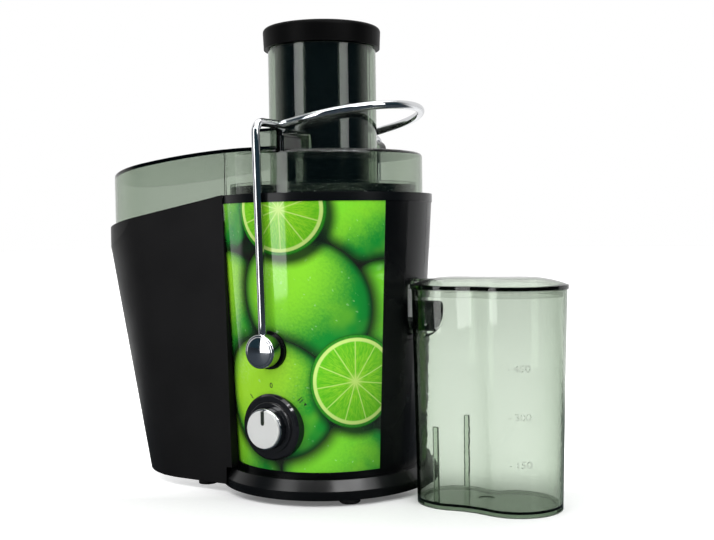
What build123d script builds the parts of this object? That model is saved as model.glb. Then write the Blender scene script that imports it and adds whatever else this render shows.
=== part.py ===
from build123d import *
import math
import os

# Centrifugal juicer, sizes in millimetres. While it is built, the motor axis is X = Y = 0 and the
# worktop is Z = 0; +X points to the spout and the jug, -X to the pulp container and -Y to the front
# with the knob. write_parts() then moves everything so that the origin is the middle of the footprint.

# ------------------------------------------------------------------------------------- clearances
RUNNING_FIT = 0.05      # radial, a turning shaft in its bore
PLUG_FIT = 0.1          # radial, still pieces that plug into each other
FREE_GAP = 0.3          # pieces that move past each other
NEST_GAP = 0.8          # pulp container round the body
SPOUT_GAP = 2.2         # jug notch round the spout
COLLAR_GAP = 0.75       # jug's collar and beak from the body
THROUGH = 1.0           # how far a cutting tool runs past a face

# ------------------------------------------------------------------------------ body and its base
FOOT_H = 4.5
FOOT_R = 7.5
FOOT_CHAMFER = 1.0
FOOT_INSET = 12.1       # foot centre from the plinth's edge
PLINTH_STEP = 10.2      # plinth stands out past the body's foot
PLINTH_LEDGE = 6.1      # sloping ledge starts this far out
PLINTH_SIDE_H = 6.2
PLINTH_WALL = 3.0
LEDGE_Z = 18.0          # top of the plinth, foot of the body
SPIGOT_H = 8.0
SPIGOT_T = 2.5
VENT_COUNT = 12
VENT_IN_R = 22.0
VENT_LENGTH = 28.0
VENT_W = 5.0
HOUSING_FOOT_R = 69.4
HOUSING_TAPER = 11.6    # growth of the body's radius from foot to rim
HOUSING_TOP_Z = 211.4
HOUSING_WALL = 4.0
DECK_Z = 147.0          # top of the deck between the motor and the bowl
DECK_T = 3.0
POST_R = 5.0
POST_INSET = 6.9        # screw post from the body's foot
POST_TOP_Z = 60.0
POST_ANGLES = (20, 160, 200, 340)
SCREW_R = 1.6
SCREW_HEAD_R = 3.8
SCREW_HEAD_H = 2.0
SCREW_LENGTH = 18.0

# ---------------------------------------------------------------------------------- front panel
PANEL_T = 2.0
PANEL_HALF_ANGLE = 64.0
PANEL_SIDE_ANGLE = 0.1  # seam at each side, in degrees
PANEL_RISE = 4.0        # panel's foot above the plinth

# -------------------------------------------------------------------------- juice bowl and spout
FLANGE_OVERHANG = 0.5
FLANGE_T = 6.1
BOWL_RIM_GAP = 3.0      # bowl inside the body's wall
BOWL_TAPER = 7.0
BOWL_LIFT = 5.0         # bowl's floor above the deck
BOWL_WALL = 2.5
CHIMNEY_GAP = 1.2
CHIMNEY_H = 18.0
APRON_HALF_W = 14.5
APRON_DROP = 17.0       # apron below the spout's axis
DUCT_INSET = 15.0       # duct's inner wall from the bowl's foot
DUCT_HALF_W = 11.5
DUCT_WALL = 2.0
POCKET_WALL = 2.5
SPOUT_DROP = 18.0       # spout's axis below the deck
SPOUT_R = 11.0
SPOUT_WALL = 2.0
SPOUT_REACH = 17.0
SPOUT_TIP_SLANT = 12.0  # degrees, drip edge of the mouth

# ------------------------------------------------------------------------------------------- lid
LID_STEP = 7.0          # lid's side inside the bowl's flange
LID_WALL = 2.5
LID_H = 30.5
LID_EDGE_FILLET = 3.0
COVER_SIDE_GAP = 1.1    # cover inside the container's wall
COVER_END_GAP = 1.8
COVER_RIDGE_X = -30.0
COVER_RIDGE_RISE = 3.0  # cover's ridge above the lid
COVER_MIDDLE_DROP = 2.5 # its top halfway along, below the lid
COVER_END_DROP = 16.0
COVER_DIP = 1.5         # how far its skirt reaches into the container
STEP_X = -42.0          # small step in the cover's side
STEP_T = 1.0
CHUTE_R = 40.5
CHUTE_WALL = 2.5
CHUTE_CLEARANCE = 8.0   # chute's foot above the filter's floor
CHUTE_RISE = 78.7       # chute above the lid
LUG_RISE = 14.9
LUG_BACK_X = -10.0
LUG_FRONT_X = 14.0
LUG_INSET = 1.5
LUG_ROUND = 7.0
LUG_WALL = 2.0

# ---------------------------------------------------------------------------------------- pusher
PUSHER_GAP = 2.4
PUSHER_WALL = 2.5
PUSHER_LIFT = 3.0       # pusher's foot above the chute's foot
CAP_OVERHANG = 3.8
CAP_FOOT_OVERHANG = 3.1
CAP_H = 15.3
CAP_EDGE = 3.0

# ------------------------------------------------------------------------- container for the pulp
TUB_FLOOR_Z = 6.0
TUB_WALL = 2.4
TUB_TOP_HALF_W = 71.5
TUB_TOP_END_X = -190.8
TUB_FOOT_HALF_W = 65.0
TUB_FOOT_END_X = -155.2
TUB_RIM_X = -60.0       # the sloping rim passes this far above the body at this place
TUB_RIM_RISE = 3.2
TUB_RIM_SLOPE = 0.17
TUB_UPRIGHT_H = 14.0    # the outer end stands upright this far below the rim
TUB_INNER_DROP = 26.6   # inner wall below the rim
TUB_FOOT_R = 7.0
TUB_FOOT_SOCKET = 1.0
TUB_NEAR_FOOT_GAP = 4.5     # feet beside the plinth, clear of it
TUB_NEAR_FOOT_ANGLE = 30.8
TUB_FAR_FOOT_IN_X = 31.0    # outer feet from the container's end and sides
TUB_FAR_FOOT_IN_Y = 29.0

# ------------------------------------------------------------------------------------------- jug
JUG_RISE = 20.4         # jug's rim above the spout's axis
JUG_WALL = 2.2
JUG_FLOOR = 2.2
JUG_FOOT_RECESS = 2.0
JUG_STANDOFF = 4.7      # jug from the plinth
JUG_NEAR_Y = -7.8       # lobe centres
JUG_FAR_Y = -5.3
JUG_LOBE_SPACING = 42.7
JUG_NEAR_R = 28.7       # at the foot
JUG_FAR_R = 31.5
JUG_NEAR_FLARE = 2.6    # growth of each lobe from foot to rim
JUG_FAR_FLARE = 3.7
JUG_FRONT_WAIST_R = 60.0
JUG_REAR_WAIST_R = 6.0  # a crease at the foot that eases towards the rim
JUG_REAR_WAIST_EASE = 24.0
COLLAR_WALL = 2.0
RIB_OFFSET = 4.0        # guide ribs from the near lobe's centre
RIB_W = 3.4
RIB_DEPTH = 2.5
RIB_TOP_Z = 56.0
JUG_GATE_R = 5.0
JUG_GATE_DEPTH = 0.7
JUG_LID_T = 2.8
JUG_DOME_H = 5.2
JUG_DOME_IN = 26.0     # dome rises over this width from the rim
JUG_DOME_STEPS = 3
JUG_LID_OVERHANG = 1.0
JUG_LID_SKIRT = 4.5
JUG_LID_SKIRT_T = 1.5
BEAK_H = 3.2
BEAK_HALF_W = 10.0
BEAK_SETBACK = 2.0      # beak's end behind the spout's mouth
BEAK_WALL = 1.8

# ----------------------------------------------------------------------------------- locking arm
PIVOT_Z = 108.0
PIVOT_PIN_R = 4.0
PIVOT_PAD_R = 13.5
PIVOT_PAD_RISE = 1.5    # pad proud of the body
PIVOT_SLEEVE_R = 8.0
PIVOT_SLEEVE_L = 14.3
BOSS_R = 12.0
BOSS_L = 10.9
BOSS_FACE_T = 3.5
BOSS_EDGE = 1.5
WIRE_R = 3.0
WIRE_FOOT_IN = 5.4      # wire's line from the boss's inner face
WIRE_FOOT_RISE = 5.5
WIRE_LEAN = 5.0         # shoulders stand further out than the feet
WIRE_LUG_GAP = 0.6      # wire over the lid's lugs
WIRE_LOOP_IN = 18.0     # loop inside the lugs' ends
WIRE_LOOP_REACH = 22.0  # straight part of the loop before its round end
WIRE_SHOULDER_BEND = 8.0
WIRE_INNER_BEND = 6.0
WIRE_LOOP_TILT = 10.0
CLIP_R = 7.0
CLIP_T = 1.0
CAM_R = 9.0
CAM_T = 4.0
CAM_LOBE = 2.0

# ---------------------------------------------------------------------------------------- knob
KNOB_Z = 53.5
BEZEL_R = 23.5
BEZEL_RISE = 4.1        # bezel's face from the panel
BEZEL_CHAMFER = 1.5
BEZEL_RING_R = 18.0
BEZEL_RING_RISE = 1.6
KNOB_R = 14.35
KNOB_L = 11.3
KNOB_STANDOUT = 7.7     # knob's face from the bezel's
KNOB_EDGE = 0.8
KNOB_CAP_T = 1.2
KNOB_CAP_RIM = 1.15     # bright rim left round the cap
NOTCH_W = 2.6
NOTCH_L = 5.0
SPINDLE_R = 3.0
SPINDLE_COVER = 3.3     # knob in front of the spindle's end
SWITCH_DEPTH = 18.0
SWITCH_SETBACK = 9.5    # switch's face behind the panel
SWITCH_HALF = 14.0
SWITCH_HOLE_R = 5.5

# ---------------------------------------------------------------------------------------- motor
SHAFT_R = 4.0
SHAFT_OVERHANG = 2.0    # shaft below the fan
FAN_LOW_Z = 20.0
FAN_H = 12.0
FAN_R = 38.0
FAN_PLATE_T = 1.6
FAN_HUB_R = 8.0
FAN_BLADES = 9
FAN_BLADE_T = 1.6
FAN_GAP = 2.0
STACK_H = 40.0
STACK_HALF_X = 38.0
STACK_HALF_Y = 33.0
STACK_CORNER_R = 8.0
ARMATURE_R = 21.5
AIR_GAP = 0.6
ARMATURE_SLOTS = 12
ARMATURE_SLOT_W = 2.4
ARMATURE_SLOT_DEPTH = 6.0
WINDING_R = 19.0
WINDING_H = 9.0
COIL_SETBACK = 2.0      # coil from the armature
COIL_DEPTH = 7.0
COIL_HALF_X = 24.0
COIL_T = 8.0
COIL_REACH = 8.0
COIL_GAP = 0.3
COMMUTATOR_R = 11.0
COMMUTATOR_H = 8.0
COMMUTATOR_GAP = 1.5    # commutator above the lower bracket
LEAD_GAP = 2.5          # between commutator and windings
BRUSH_HALF = 3.0
BRUSH_L = 13.0
BRUSH_GAP = 0.08
HOLDER_GAP = 4.0
HOLDER_BACK = 5.0
HOLDER_WALL = 2.0
BRACKET_T = 3.0
LOWER_BEARING_R = 11.0
LOWER_BEARING_H = 7.0
UPPER_BEARING_R = 13.0
UPPER_BEARING_H = 8.0
CUP_WALL = 2.0
PILLAR_INSET = 6.5
PILLAR_R = 5.0
BOLT_R = 2.0
BOLT_HEAD_R = 3.8
BOLT_HEAD_H = 3.0
DAMPER_R = 6.0
DAMPER_H = 17.0
DAMPER_CIRCLE_R = 24.0
SEAL_R = 9.0
SEAL_COLLAR_WALL = 3.0
SEAL_COLLAR_H = 3.5
SWITCHBOX_SIZE = (20.0, 6.5, 10.0)
SWITCHBOX_SETBACK = 5.5 # switch inside the pivot sleeve's end
SWITCHBOX_BUTTON = 1.5
GLAND_Z = 38.0
GLAND_BORE_R = 3.7
GLAND_R = 6.0
GLAND_L = 12.5
GLAND_FLANGE_R = 9.0
GLAND_PAD_R = 11.0
GLAND_PAD_RISE = 1.9
GLAND_FLANGE_T = 2.0
GLAND_NOSE = 8.0

# ------------------------------------------------------------------------------ filter and drive
COUPLING_STANDOFF = 2.5     # coupling above the seal
COUPLING_H = 15.0
COUPLING_COVER = 2.0        # coupling over the shaft's end
COUPLING_CORE_R = 6.5
COUPLING_LOBE_R = 9.0
COUPLING_LOBE_W = 5.0
COUPLING_LOBES = 3
HUB_BOSS_WALL = 2.3
HUB_BOSS_RISE = 5.0         # hub's boss from the coupling's foot
HUB_SKIRT_T = 2.5
HUB_SKIRT_GAP = 1.9
HUB_SKIRT_RISE = 6.5        # skirt above the bowl's floor
HUB_RISE = 2.0              # hub above the chimney
HUB_FLOOR_T = 4.0
HUB_OVERHANG = 1.5
CONE_FOOT_R = 43.0
CONE_RISE = 6.5             # sieve's top above the bowl's flange
CONE_T = 0.8
SIEVE_ROWS = 3
SIEVE_COLUMNS = 30
SIEVE_SLOT_W = 1.6
SIEVE_SLOT_SHARE = 0.62     # slot length as a share of the row height
RIM_GAP = 1.5               # spinning rim inside the bowl
RIM_T = 4.5
RIM_DEPTH = 5.0             # rim down over the sieve
RIM_H = 7.0
GRATER_INSET = 2.5
GRATER_T = 1.2
GRATER_ARMS = 6
GRATER_TEETH = 6
GRATER_TOOTH_H = 1.6
GRATER_TOOTH_L = 5.0
GRATER_TOOTH_W = 2.0
GRATER_TOOTH_ROOT = 0.2     # tooth rooted in the disc
GRATER_START_R = 9.0
GRATER_EDGE = 3.5           # last tooth from the disc's edge
GRATER_TWIST = 14.0         # degrees from one tooth of an arm to the next


# ------------------------------------------------------------------------- worked-out sizes
def body_radius(height):
    """Outer radius of the tapered body at a height."""
    return HOUSING_FOOT_R + HOUSING_TAPER * (height - LEDGE_Z) / (HOUSING_TOP_Z - LEDGE_Z)


HOUSING_TOP_R = HOUSING_FOOT_R + HOUSING_TAPER
PANEL_LOW_Z = LEDGE_Z + PANEL_RISE
PLINTH_R = HOUSING_FOOT_R + PLINTH_STEP
PLINTH_LEDGE_R = HOUSING_FOOT_R + PLINTH_LEDGE
PLINTH_SIDE_TOP_Z = FOOT_H + PLINTH_SIDE_H
PLINTH_FLOOR_TOP_Z = FOOT_H + PLINTH_WALL
FOOT_CIRCLE_R = PLINTH_R - FOOT_INSET
POST_CIRCLE_R = HOUSING_FOOT_R - POST_INSET

FLANGE_R = HOUSING_TOP_R + FLANGE_OVERHANG
FLANGE_TOP_Z = HOUSING_TOP_Z + FLANGE_T
BOWL_TOP_R = HOUSING_TOP_R - HOUSING_WALL - BOWL_RIM_GAP
BOWL_FLOOR_R = BOWL_TOP_R - BOWL_TAPER
BOWL_FLOOR_Z = DECK_Z + BOWL_LIFT
CHIMNEY_TOP_Z = BOWL_FLOOR_Z + CHIMNEY_H
DUCT_START_X = BOWL_FLOOR_R - DUCT_INSET
SPOUT_Z = DECK_Z - SPOUT_DROP
SPOUT_END_X = body_radius(SPOUT_Z) + SPOUT_REACH
APRON_LOW_Z = SPOUT_Z - APRON_DROP

SEAL_COLLAR_TOP_Z = DECK_Z + SEAL_COLLAR_H
COUPLING_LOW_Z = SEAL_COLLAR_TOP_Z + COUPLING_STANDOFF
COUPLING_TOP_Z = COUPLING_LOW_Z + COUPLING_H
HUB_BOSS_R = COUPLING_LOBE_R + PLUG_FIT + HUB_BOSS_WALL
HUB_BOSS_LOW_Z = COUPLING_LOW_Z + HUB_BOSS_RISE
CHIMNEY_BORE_R = HUB_BOSS_R + CHIMNEY_GAP
HUB_SKIRT_BORE_R = CHIMNEY_BORE_R + BOWL_WALL + HUB_SKIRT_GAP
HUB_SKIRT_R = HUB_SKIRT_BORE_R + HUB_SKIRT_T
HUB_SKIRT_LOW_Z = BOWL_FLOOR_Z + BOWL_WALL + HUB_SKIRT_RISE
HUB_FLOOR_Z = CHIMNEY_TOP_Z + HUB_RISE
HUB_TOP_Z = HUB_FLOOR_Z + HUB_FLOOR_T
HUB_R = CONE_FOOT_R + HUB_OVERHANG
CONE_TOP_Z = FLANGE_TOP_Z + CONE_RISE
RIM_R = BOWL_TOP_R - BOWL_WALL - RIM_GAP
RIM_LOW_Z = CONE_TOP_Z - RIM_DEPTH
CONE_TOP_R = RIM_R - RIM_T
GRATER_R = CONE_FOOT_R - GRATER_INSET
GRATER_STEP = (GRATER_R - GRATER_EDGE - GRATER_START_R) / (GRATER_TEETH - 1)

LID_R = FLANGE_R - LID_STEP
LID_TOP_Z = FLANGE_TOP_Z + LID_H
CHUTE_LOW_Z = HUB_TOP_Z + CHUTE_CLEARANCE
CHUTE_TOP_Z = LID_TOP_Z + CHUTE_RISE
LUG_TOP_Z = LID_TOP_Z + LUG_RISE
LUG_OUT_Y = LID_R - LUG_INSET
COVER_HALF_W = TUB_TOP_HALF_W - TUB_WALL - COVER_SIDE_GAP
COVER_END_X = TUB_TOP_END_X + TUB_WALL + COVER_END_GAP
COVER_RIDGE_Z = LID_TOP_Z + COVER_RIDGE_RISE
COVER_MIDDLE_Z = LID_TOP_Z - COVER_MIDDLE_DROP
COVER_END_Z = LID_TOP_Z - COVER_END_DROP
TUB_WING_X = STEP_X
TUB_RIM_Z = HOUSING_TOP_Z + TUB_RIM_RISE
TUB_INNER_WALL_Z = TUB_RIM_Z - TUB_INNER_DROP

PUSHER_R = CHUTE_R - CHUTE_WALL - PUSHER_GAP
PUSHER_LOW_Z = CHUTE_LOW_Z + PUSHER_LIFT
CAP_R = CHUTE_R + CAP_OVERHANG
CAP_FOOT_R = CHUTE_R + CAP_FOOT_OVERHANG
CAP_LOW_Z = CHUTE_TOP_Z + FREE_GAP

JUG_H = SPOUT_Z + JUG_RISE
JUG_NEAR = (PLINTH_R + JUG_STANDOFF + JUG_NEAR_R, JUG_NEAR_Y)
JUG_FAR = (JUG_NEAR[0] + JUG_LOBE_SPACING, JUG_FAR_Y)
JUG_MIDDLE = ((JUG_NEAR[0] + JUG_FAR[0]) / 2, (JUG_NEAR[1] + JUG_FAR[1]) / 2)
RIB_X = JUG_NEAR[0] - RIB_OFFSET
JUG_LID_LOW_Z = JUG_H + FREE_GAP
BEAK_TOP_Z = JUG_LID_LOW_Z + JUG_LID_T + BEAK_H
BEAK_END_X = SPOUT_END_X - BEAK_SETBACK

PIVOT_PAD_Y = body_radius(PIVOT_Z) + PIVOT_PAD_RISE
PIVOT_SLEEVE_Y = PIVOT_PAD_Y - PIVOT_SLEEVE_L
BOSS_IN_Y = PIVOT_PAD_Y + FREE_GAP
BOSS_OUT_Y = BOSS_IN_Y + BOSS_L
PIN_END_Y = BOSS_OUT_Y - BOSS_FACE_T
WIRE_FOOT_Y = BOSS_IN_Y + WIRE_FOOT_IN
WIRE_FOOT_Z = PIVOT_Z + WIRE_FOOT_RISE
WIRE_SHOULDER_Y = WIRE_FOOT_Y + WIRE_LEAN
WIRE_SHOULDER_Z = LUG_TOP_Z + WIRE_R + WIRE_LUG_GAP
WIRE_LOOP_R = LUG_OUT_Y - WIRE_LOOP_IN
SWITCHBOX_Y = PIVOT_SLEEVE_Y - SWITCHBOX_SETBACK

BEZEL_Y = body_radius(KNOB_Z) + BEZEL_RISE
BEZEL_RING_Y = BEZEL_Y + BEZEL_RING_RISE
KNOB_FACE_Y = BEZEL_Y + KNOB_STANDOUT
KNOB_BACK_Y = KNOB_FACE_Y - KNOB_L
KNOB_CAP_R = KNOB_R - KNOB_CAP_RIM
SPINDLE_END_Y = KNOB_FACE_Y - SPINDLE_COVER
SWITCH_FACE_Y = body_radius(KNOB_Z) - SWITCH_SETBACK
GLAND_PAD_Y = body_radius(GLAND_Z) + GLAND_PAD_RISE
GLAND_IN_Y = GLAND_PAD_Y - GLAND_L

SHAFT_LOW_Z = FAN_LOW_Z - SHAFT_OVERHANG
SHAFT_TOP_Z = COUPLING_TOP_Z - COUPLING_COVER
FAN_TOP_Z = FAN_LOW_Z + FAN_H
LOWER_PLATE_TOP_Z = FAN_TOP_Z + FAN_GAP + LOWER_BEARING_H
UPPER_PLATE_Z = DECK_Z - DECK_T - DAMPER_H - BRACKET_T
COMMUTATOR_LOW_Z = LOWER_PLATE_TOP_Z + COMMUTATOR_GAP
COMMUTATOR_TOP_Z = COMMUTATOR_LOW_Z + COMMUTATOR_H
STACK_LOW_Z = COMMUTATOR_TOP_Z + LEAD_GAP + WINDING_H
STACK_TOP_Z = STACK_LOW_Z + STACK_H
PILLAR_X = STACK_HALF_X - PILLAR_INSET
PILLAR_Y = STACK_HALF_Y - PILLAR_INSET
COIL_IN_Y = ARMATURE_R + COIL_SETBACK
COIL_OUT_Y = COIL_IN_Y + COIL_DEPTH
BRUSH_END_X = COMMUTATOR_R + BRUSH_L
HOLDER_START_X = COMMUTATOR_R + HOLDER_GAP
HOLDER_END_X = BRUSH_END_X + HOLDER_BACK

STANDING = (Align.CENTER, Align.CENTER, Align.MIN)


# ------------------------------------------------------------------------------------- helpers
def disc(radius, low, high, x=0.0, y=0.0):
    """Upright cylinder between two heights."""
    return Pos(x, y, low) * Cylinder(radius, high - low, align=STANDING)


def ring(outer, inner, low, high, x=0.0, y=0.0):
    """Upright tube between two heights."""
    return disc(outer, low, high, x, y) - disc(inner, low - THROUGH, high + THROUGH, x, y)


def block(x, y, z):
    """Box from a (low, high) pair for each axis."""
    sizes = [high - low for low, high in (x, y, z)]
    middle = [(high + low) / 2 for low, high in (x, y, z)]
    return Pos(*middle) * Box(*sizes)


def rod(radius, start, end, z, x=0.0):
    """Cylinder along Y between two Y positions."""
    return Pos(x, (start + end) / 2, z) * Rot(X=90) * Cylinder(radius, abs(end - start))


def turned(*corners):
    """Solid of revolution about the motor axis from (radius, height) corners."""
    outline = Polyline(*[(radius, 0, height) for radius, height in corners], close=True)
    return revolve(make_face(outline), Axis.Z)


def around(piece, angles):
    """Copies of a piece turned about the motor axis."""
    return [Rot(Z=angle) * piece for angle in angles]


def evenly(count, start=0.0):
    """Angles of a full circle in equal steps."""
    return [start + 360 * n / count for n in range(count)]


def separate(pieces):
    """One node made of solids that stay apart."""
    return Compound([solid for piece in pieces for solid in piece.solids()])


def side_profile(corners, half_width):
    """Prism along Y from an outline of (x, z) corners."""
    outline = Polyline(*[(x, 0, z) for x, z in corners], close=True)
    return extrude(make_face(outline), half_width, dir=(0, 1, 0), both=True)


def collar_start():
    """Where the jug's collar and beak begin, just clear of the body at the beak's top."""
    return body_radius(BEAK_TOP_Z) + COLLAR_GAP


def body_cone(low, high, inset=0.0):
    """Solid inside the body's outer surface, inset from it, between two heights."""
    return turned((0, low), (body_radius(low) - inset, low), (body_radius(high) - inset, high), (0, high))


def front_wedge(half_angle):
    """Tall wedge about the front, as wide as the given half angle on each side."""
    reach = 3 * PLINTH_R
    side = math.radians(half_angle)
    x, y = reach * math.sin(side), -reach * math.cos(side)
    outline = Polyline((0, 0), (-x, y), (-x, -reach), (x, -reach), (x, y), close=True)
    return extrude(make_face(outline), CHUTE_TOP_Z)


# ------------------------------------------------------------------------------ body and its base
def motor_housing():
    """Tapered shell with the deck, screw posts, switch pads, pivot sleeves and the spout's slot."""
    inner_skin = HOUSING_WALL / 2
    shell = body_cone(LEDGE_Z, HOUSING_TOP_Z) - body_cone(LEDGE_Z, HOUSING_TOP_Z, HOUSING_WALL)
    shell += body_cone(DECK_Z - DECK_T, DECK_Z, inner_skin)
    shell += disc(SEAL_R + PLUG_FIT + SEAL_COLLAR_WALL, DECK_Z - DECK_T, SEAL_COLLAR_TOP_Z)
    shell -= disc(SEAL_R + PLUG_FIT, DECK_Z - DECK_T - THROUGH, SEAL_COLLAR_TOP_Z + THROUGH)

    inside = body_cone(LEDGE_Z, HOUSING_TOP_Z, inner_skin)
    pocket_x = DUCT_START_X - FREE_GAP
    pocket_y = APRON_HALF_W + FREE_GAP
    pocket_z = APRON_LOW_Z - FREE_GAP
    outer_y = pocket_y + POCKET_WALL
    casing = block((pocket_x - POCKET_WALL, PLINTH_R), (-outer_y, outer_y), (pocket_z - POCKET_WALL, DECK_Z))
    shell += casing & inside

    post = disc(POST_R, PLINTH_FLOOR_TOP_Z, POST_TOP_Z, x=POST_CIRCLE_R)
    shell += [piece & body_cone(0, POST_TOP_Z, inner_skin) for piece in around(post, POST_ANGLES)]

    for side in (-1, 1):
        shell += rod(PIVOT_PAD_R, side * (PIVOT_PAD_Y - HOUSING_WALL), side * PIVOT_PAD_Y, PIVOT_Z)
        shell += rod(PIVOT_SLEEVE_R, side * PIVOT_SLEEVE_Y, side * PIVOT_PAD_Y, PIVOT_Z)
    switch_z = (KNOB_Z - SWITCH_HALF, KNOB_Z + SWITCH_HALF)
    shell += block((-SWITCH_HALF, SWITCH_HALF), (-HOUSING_TOP_R, -SWITCH_FACE_Y), switch_z) & inside
    half, width, height = SWITCHBOX_SIZE[0] / 2, SWITCHBOX_SIZE[1], SWITCHBOX_SIZE[2]
    top = PIVOT_Z - CAM_R - FREE_GAP - SWITCHBOX_BUTTON
    shell += block((-half, half), (SWITCHBOX_Y + width, HOUSING_TOP_R), (top - height, top)) & inside
    shell += rod(GLAND_PAD_R, GLAND_IN_Y + HOUSING_WALL, GLAND_PAD_Y, GLAND_Z)

    shell -= block((pocket_x, 2 * PLINTH_R), (-pocket_y, pocket_y), (pocket_z, HOUSING_TOP_Z + THROUGH))
    shell -= rod(PIVOT_PIN_R + RUNNING_FIT, -2 * PLINTH_R, 2 * PLINTH_R, PIVOT_Z)
    shell -= rod(SWITCH_HOLE_R, 0, -2 * PLINTH_R, KNOB_Z)
    shell -= rod(GLAND_R + PLUG_FIT, 0, 2 * PLINTH_R, GLAND_Z)
    pilot = disc(SCREW_R, PLINTH_FLOOR_TOP_Z - THROUGH, FOOT_H + SCREW_LENGTH + THROUGH, x=POST_CIRCLE_R)
    shell -= around(pilot, POST_ANGLES)

    recess = body_cone(PANEL_LOW_Z - PLUG_FIT, HOUSING_TOP_Z + THROUGH, -2 * PANEL_T)
    recess -= body_cone(PANEL_LOW_Z - THROUGH, HOUSING_TOP_Z + 2 * THROUGH, PANEL_T + PLUG_FIT)
    recess &= front_wedge(PANEL_HALF_ANGLE + PANEL_SIDE_ANGLE)
    recess -= rod(PIVOT_PAD_R, 0, -PIVOT_PAD_Y, PIVOT_Z)
    return shell - recess


def front_panel():
    """Curved cover let into the front of the body, with holes for the arm's pad and the bezel."""
    panel = body_cone(PANEL_LOW_Z, HOUSING_TOP_Z) - body_cone(0, HOUSING_TOP_Z + THROUGH, PANEL_T)
    panel &= front_wedge(PANEL_HALF_ANGLE)
    panel -= rod(PIVOT_PAD_R + PLUG_FIT, 0, -2 * PLINTH_R, PIVOT_Z)
    return panel - rod(BEZEL_RING_R + PLUG_FIT, 0, -2 * PLINTH_R, KNOB_Z)


def base_plate():
    """Round plinth: sloping ledge, floor with air slots, spigot into the body."""
    inner_r = PLINTH_R - PLINTH_WALL
    spigot_r = HOUSING_FOOT_R - HOUSING_WALL - PLUG_FIT
    spigot_top = LEDGE_Z + SPIGOT_H
    under = LEDGE_Z - PLINTH_WALL
    plate = turned(
        (0, FOOT_H), (PLINTH_R, FOOT_H), (PLINTH_R, PLINTH_SIDE_TOP_Z), (PLINTH_LEDGE_R, LEDGE_Z),
        (spigot_r, LEDGE_Z), (spigot_r, spigot_top), (spigot_r - SPIGOT_T, spigot_top),
        (spigot_r - SPIGOT_T, under), (PLINTH_LEDGE_R - PLINTH_WALL, under),
        (inner_r, PLINTH_SIDE_TOP_Z), (inner_r, PLINTH_FLOOR_TOP_Z), (0, PLINTH_FLOOR_TOP_Z),
    )
    floor_cut = (FOOT_H - THROUGH, PLINTH_FLOOR_TOP_Z + THROUGH)
    vent = block((VENT_IN_R, VENT_IN_R + VENT_LENGTH), (-VENT_W / 2, VENT_W / 2), floor_cut)
    plate -= around(vent, evenly(VENT_COUNT))
    post_room = disc(POST_R + FREE_GAP, PLINTH_FLOOR_TOP_Z, spigot_top + THROUGH, x=POST_CIRCLE_R)
    hole = disc(SCREW_R + PLUG_FIT, *floor_cut, x=POST_CIRCLE_R)
    head = disc(SCREW_HEAD_R + PLUG_FIT, FOOT_H - THROUGH, FOOT_H + SCREW_HEAD_H, x=POST_CIRCLE_R)
    return plate - around(post_room, POST_ANGLES) - around(hole, POST_ANGLES) - around(head, POST_ANGLES)


def base_feet():
    foot = disc(FOOT_R, 0, FOOT_H, x=FOOT_CIRCLE_R)
    foot = chamfer(foot.edges().group_by(Axis.Z)[0], FOOT_CHAMFER)
    return separate(around(foot, evenly(4, 45)))


def base_screws():
    """Screws through the plinth's floor into the body's posts."""
    head_top = FOOT_H + SCREW_HEAD_H
    screw = disc(SCREW_HEAD_R, FOOT_H, head_top, x=POST_CIRCLE_R)
    screw += disc(SCREW_R, head_top, FOOT_H + SCREW_LENGTH, x=POST_CIRCLE_R)
    return separate(around(screw, POST_ANGLES))


def cord_gland():
    """Inlet bush at the back of the body, with its through bore."""
    flange_y = GLAND_PAD_Y + GLAND_FLANGE_T
    gland = rod(GLAND_R, GLAND_IN_Y, GLAND_PAD_Y, GLAND_Z)
    gland += rod(GLAND_FLANGE_R, GLAND_PAD_Y, flange_y, GLAND_Z)
    gland += rod(GLAND_R, flange_y, flange_y + GLAND_NOSE, GLAND_Z)
    return gland - rod(GLAND_BORE_R, GLAND_IN_Y - THROUGH, flange_y + GLAND_NOSE + THROUGH, GLAND_Z)


# -------------------------------------------------------------------------- juice bowl and spout
def juice_bowl():
    """Bowl that hangs by its flange in the body, with chimney, apron, duct and spout."""
    floor_top = BOWL_FLOOR_Z + BOWL_WALL
    chimney_r = CHIMNEY_BORE_R + BOWL_WALL
    bowl = turned(
        (CHIMNEY_BORE_R, BOWL_FLOOR_Z), (BOWL_FLOOR_R, BOWL_FLOOR_Z), (BOWL_TOP_R, HOUSING_TOP_Z),
        (FLANGE_R, HOUSING_TOP_Z), (FLANGE_R, FLANGE_TOP_Z), (BOWL_TOP_R - BOWL_WALL, FLANGE_TOP_Z),
        (BOWL_TOP_R - BOWL_WALL, HOUSING_TOP_Z), (BOWL_FLOOR_R - BOWL_WALL, floor_top),
        (chimney_r, floor_top), (chimney_r, CHIMNEY_TOP_Z), (CHIMNEY_BORE_R, CHIMNEY_TOP_Z),
    )
    apron = body_cone(APRON_LOW_Z, HOUSING_TOP_Z) - body_cone(0, FLANGE_TOP_Z, HOUSING_WALL)
    reach = (DUCT_START_X, 2 * PLINTH_R)
    bowl += apron & block(reach, (-APRON_HALF_W, APRON_HALF_W), (0, FLANGE_TOP_Z))
    duct = block(reach, (-DUCT_HALF_W, DUCT_HALF_W), (APRON_LOW_Z, floor_top))
    bowl += duct & body_cone(APRON_LOW_Z, HOUSING_TOP_Z)
    bowl += spout(SPOUT_R, body_radius(SPOUT_Z) - HOUSING_WALL, SPOUT_END_X)

    inner_y = DUCT_HALF_W - DUCT_WALL
    inner_x = (DUCT_START_X + DUCT_WALL, body_radius(APRON_LOW_Z) - HOUSING_WALL)
    inner_z = (APRON_LOW_Z + DUCT_WALL, floor_top + THROUGH)
    bowl -= block(inner_x, (-inner_y, inner_y), inner_z)
    return bowl - spout(SPOUT_R - SPOUT_WALL, inner_x[1] - THROUGH, SPOUT_END_X + THROUGH)


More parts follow.
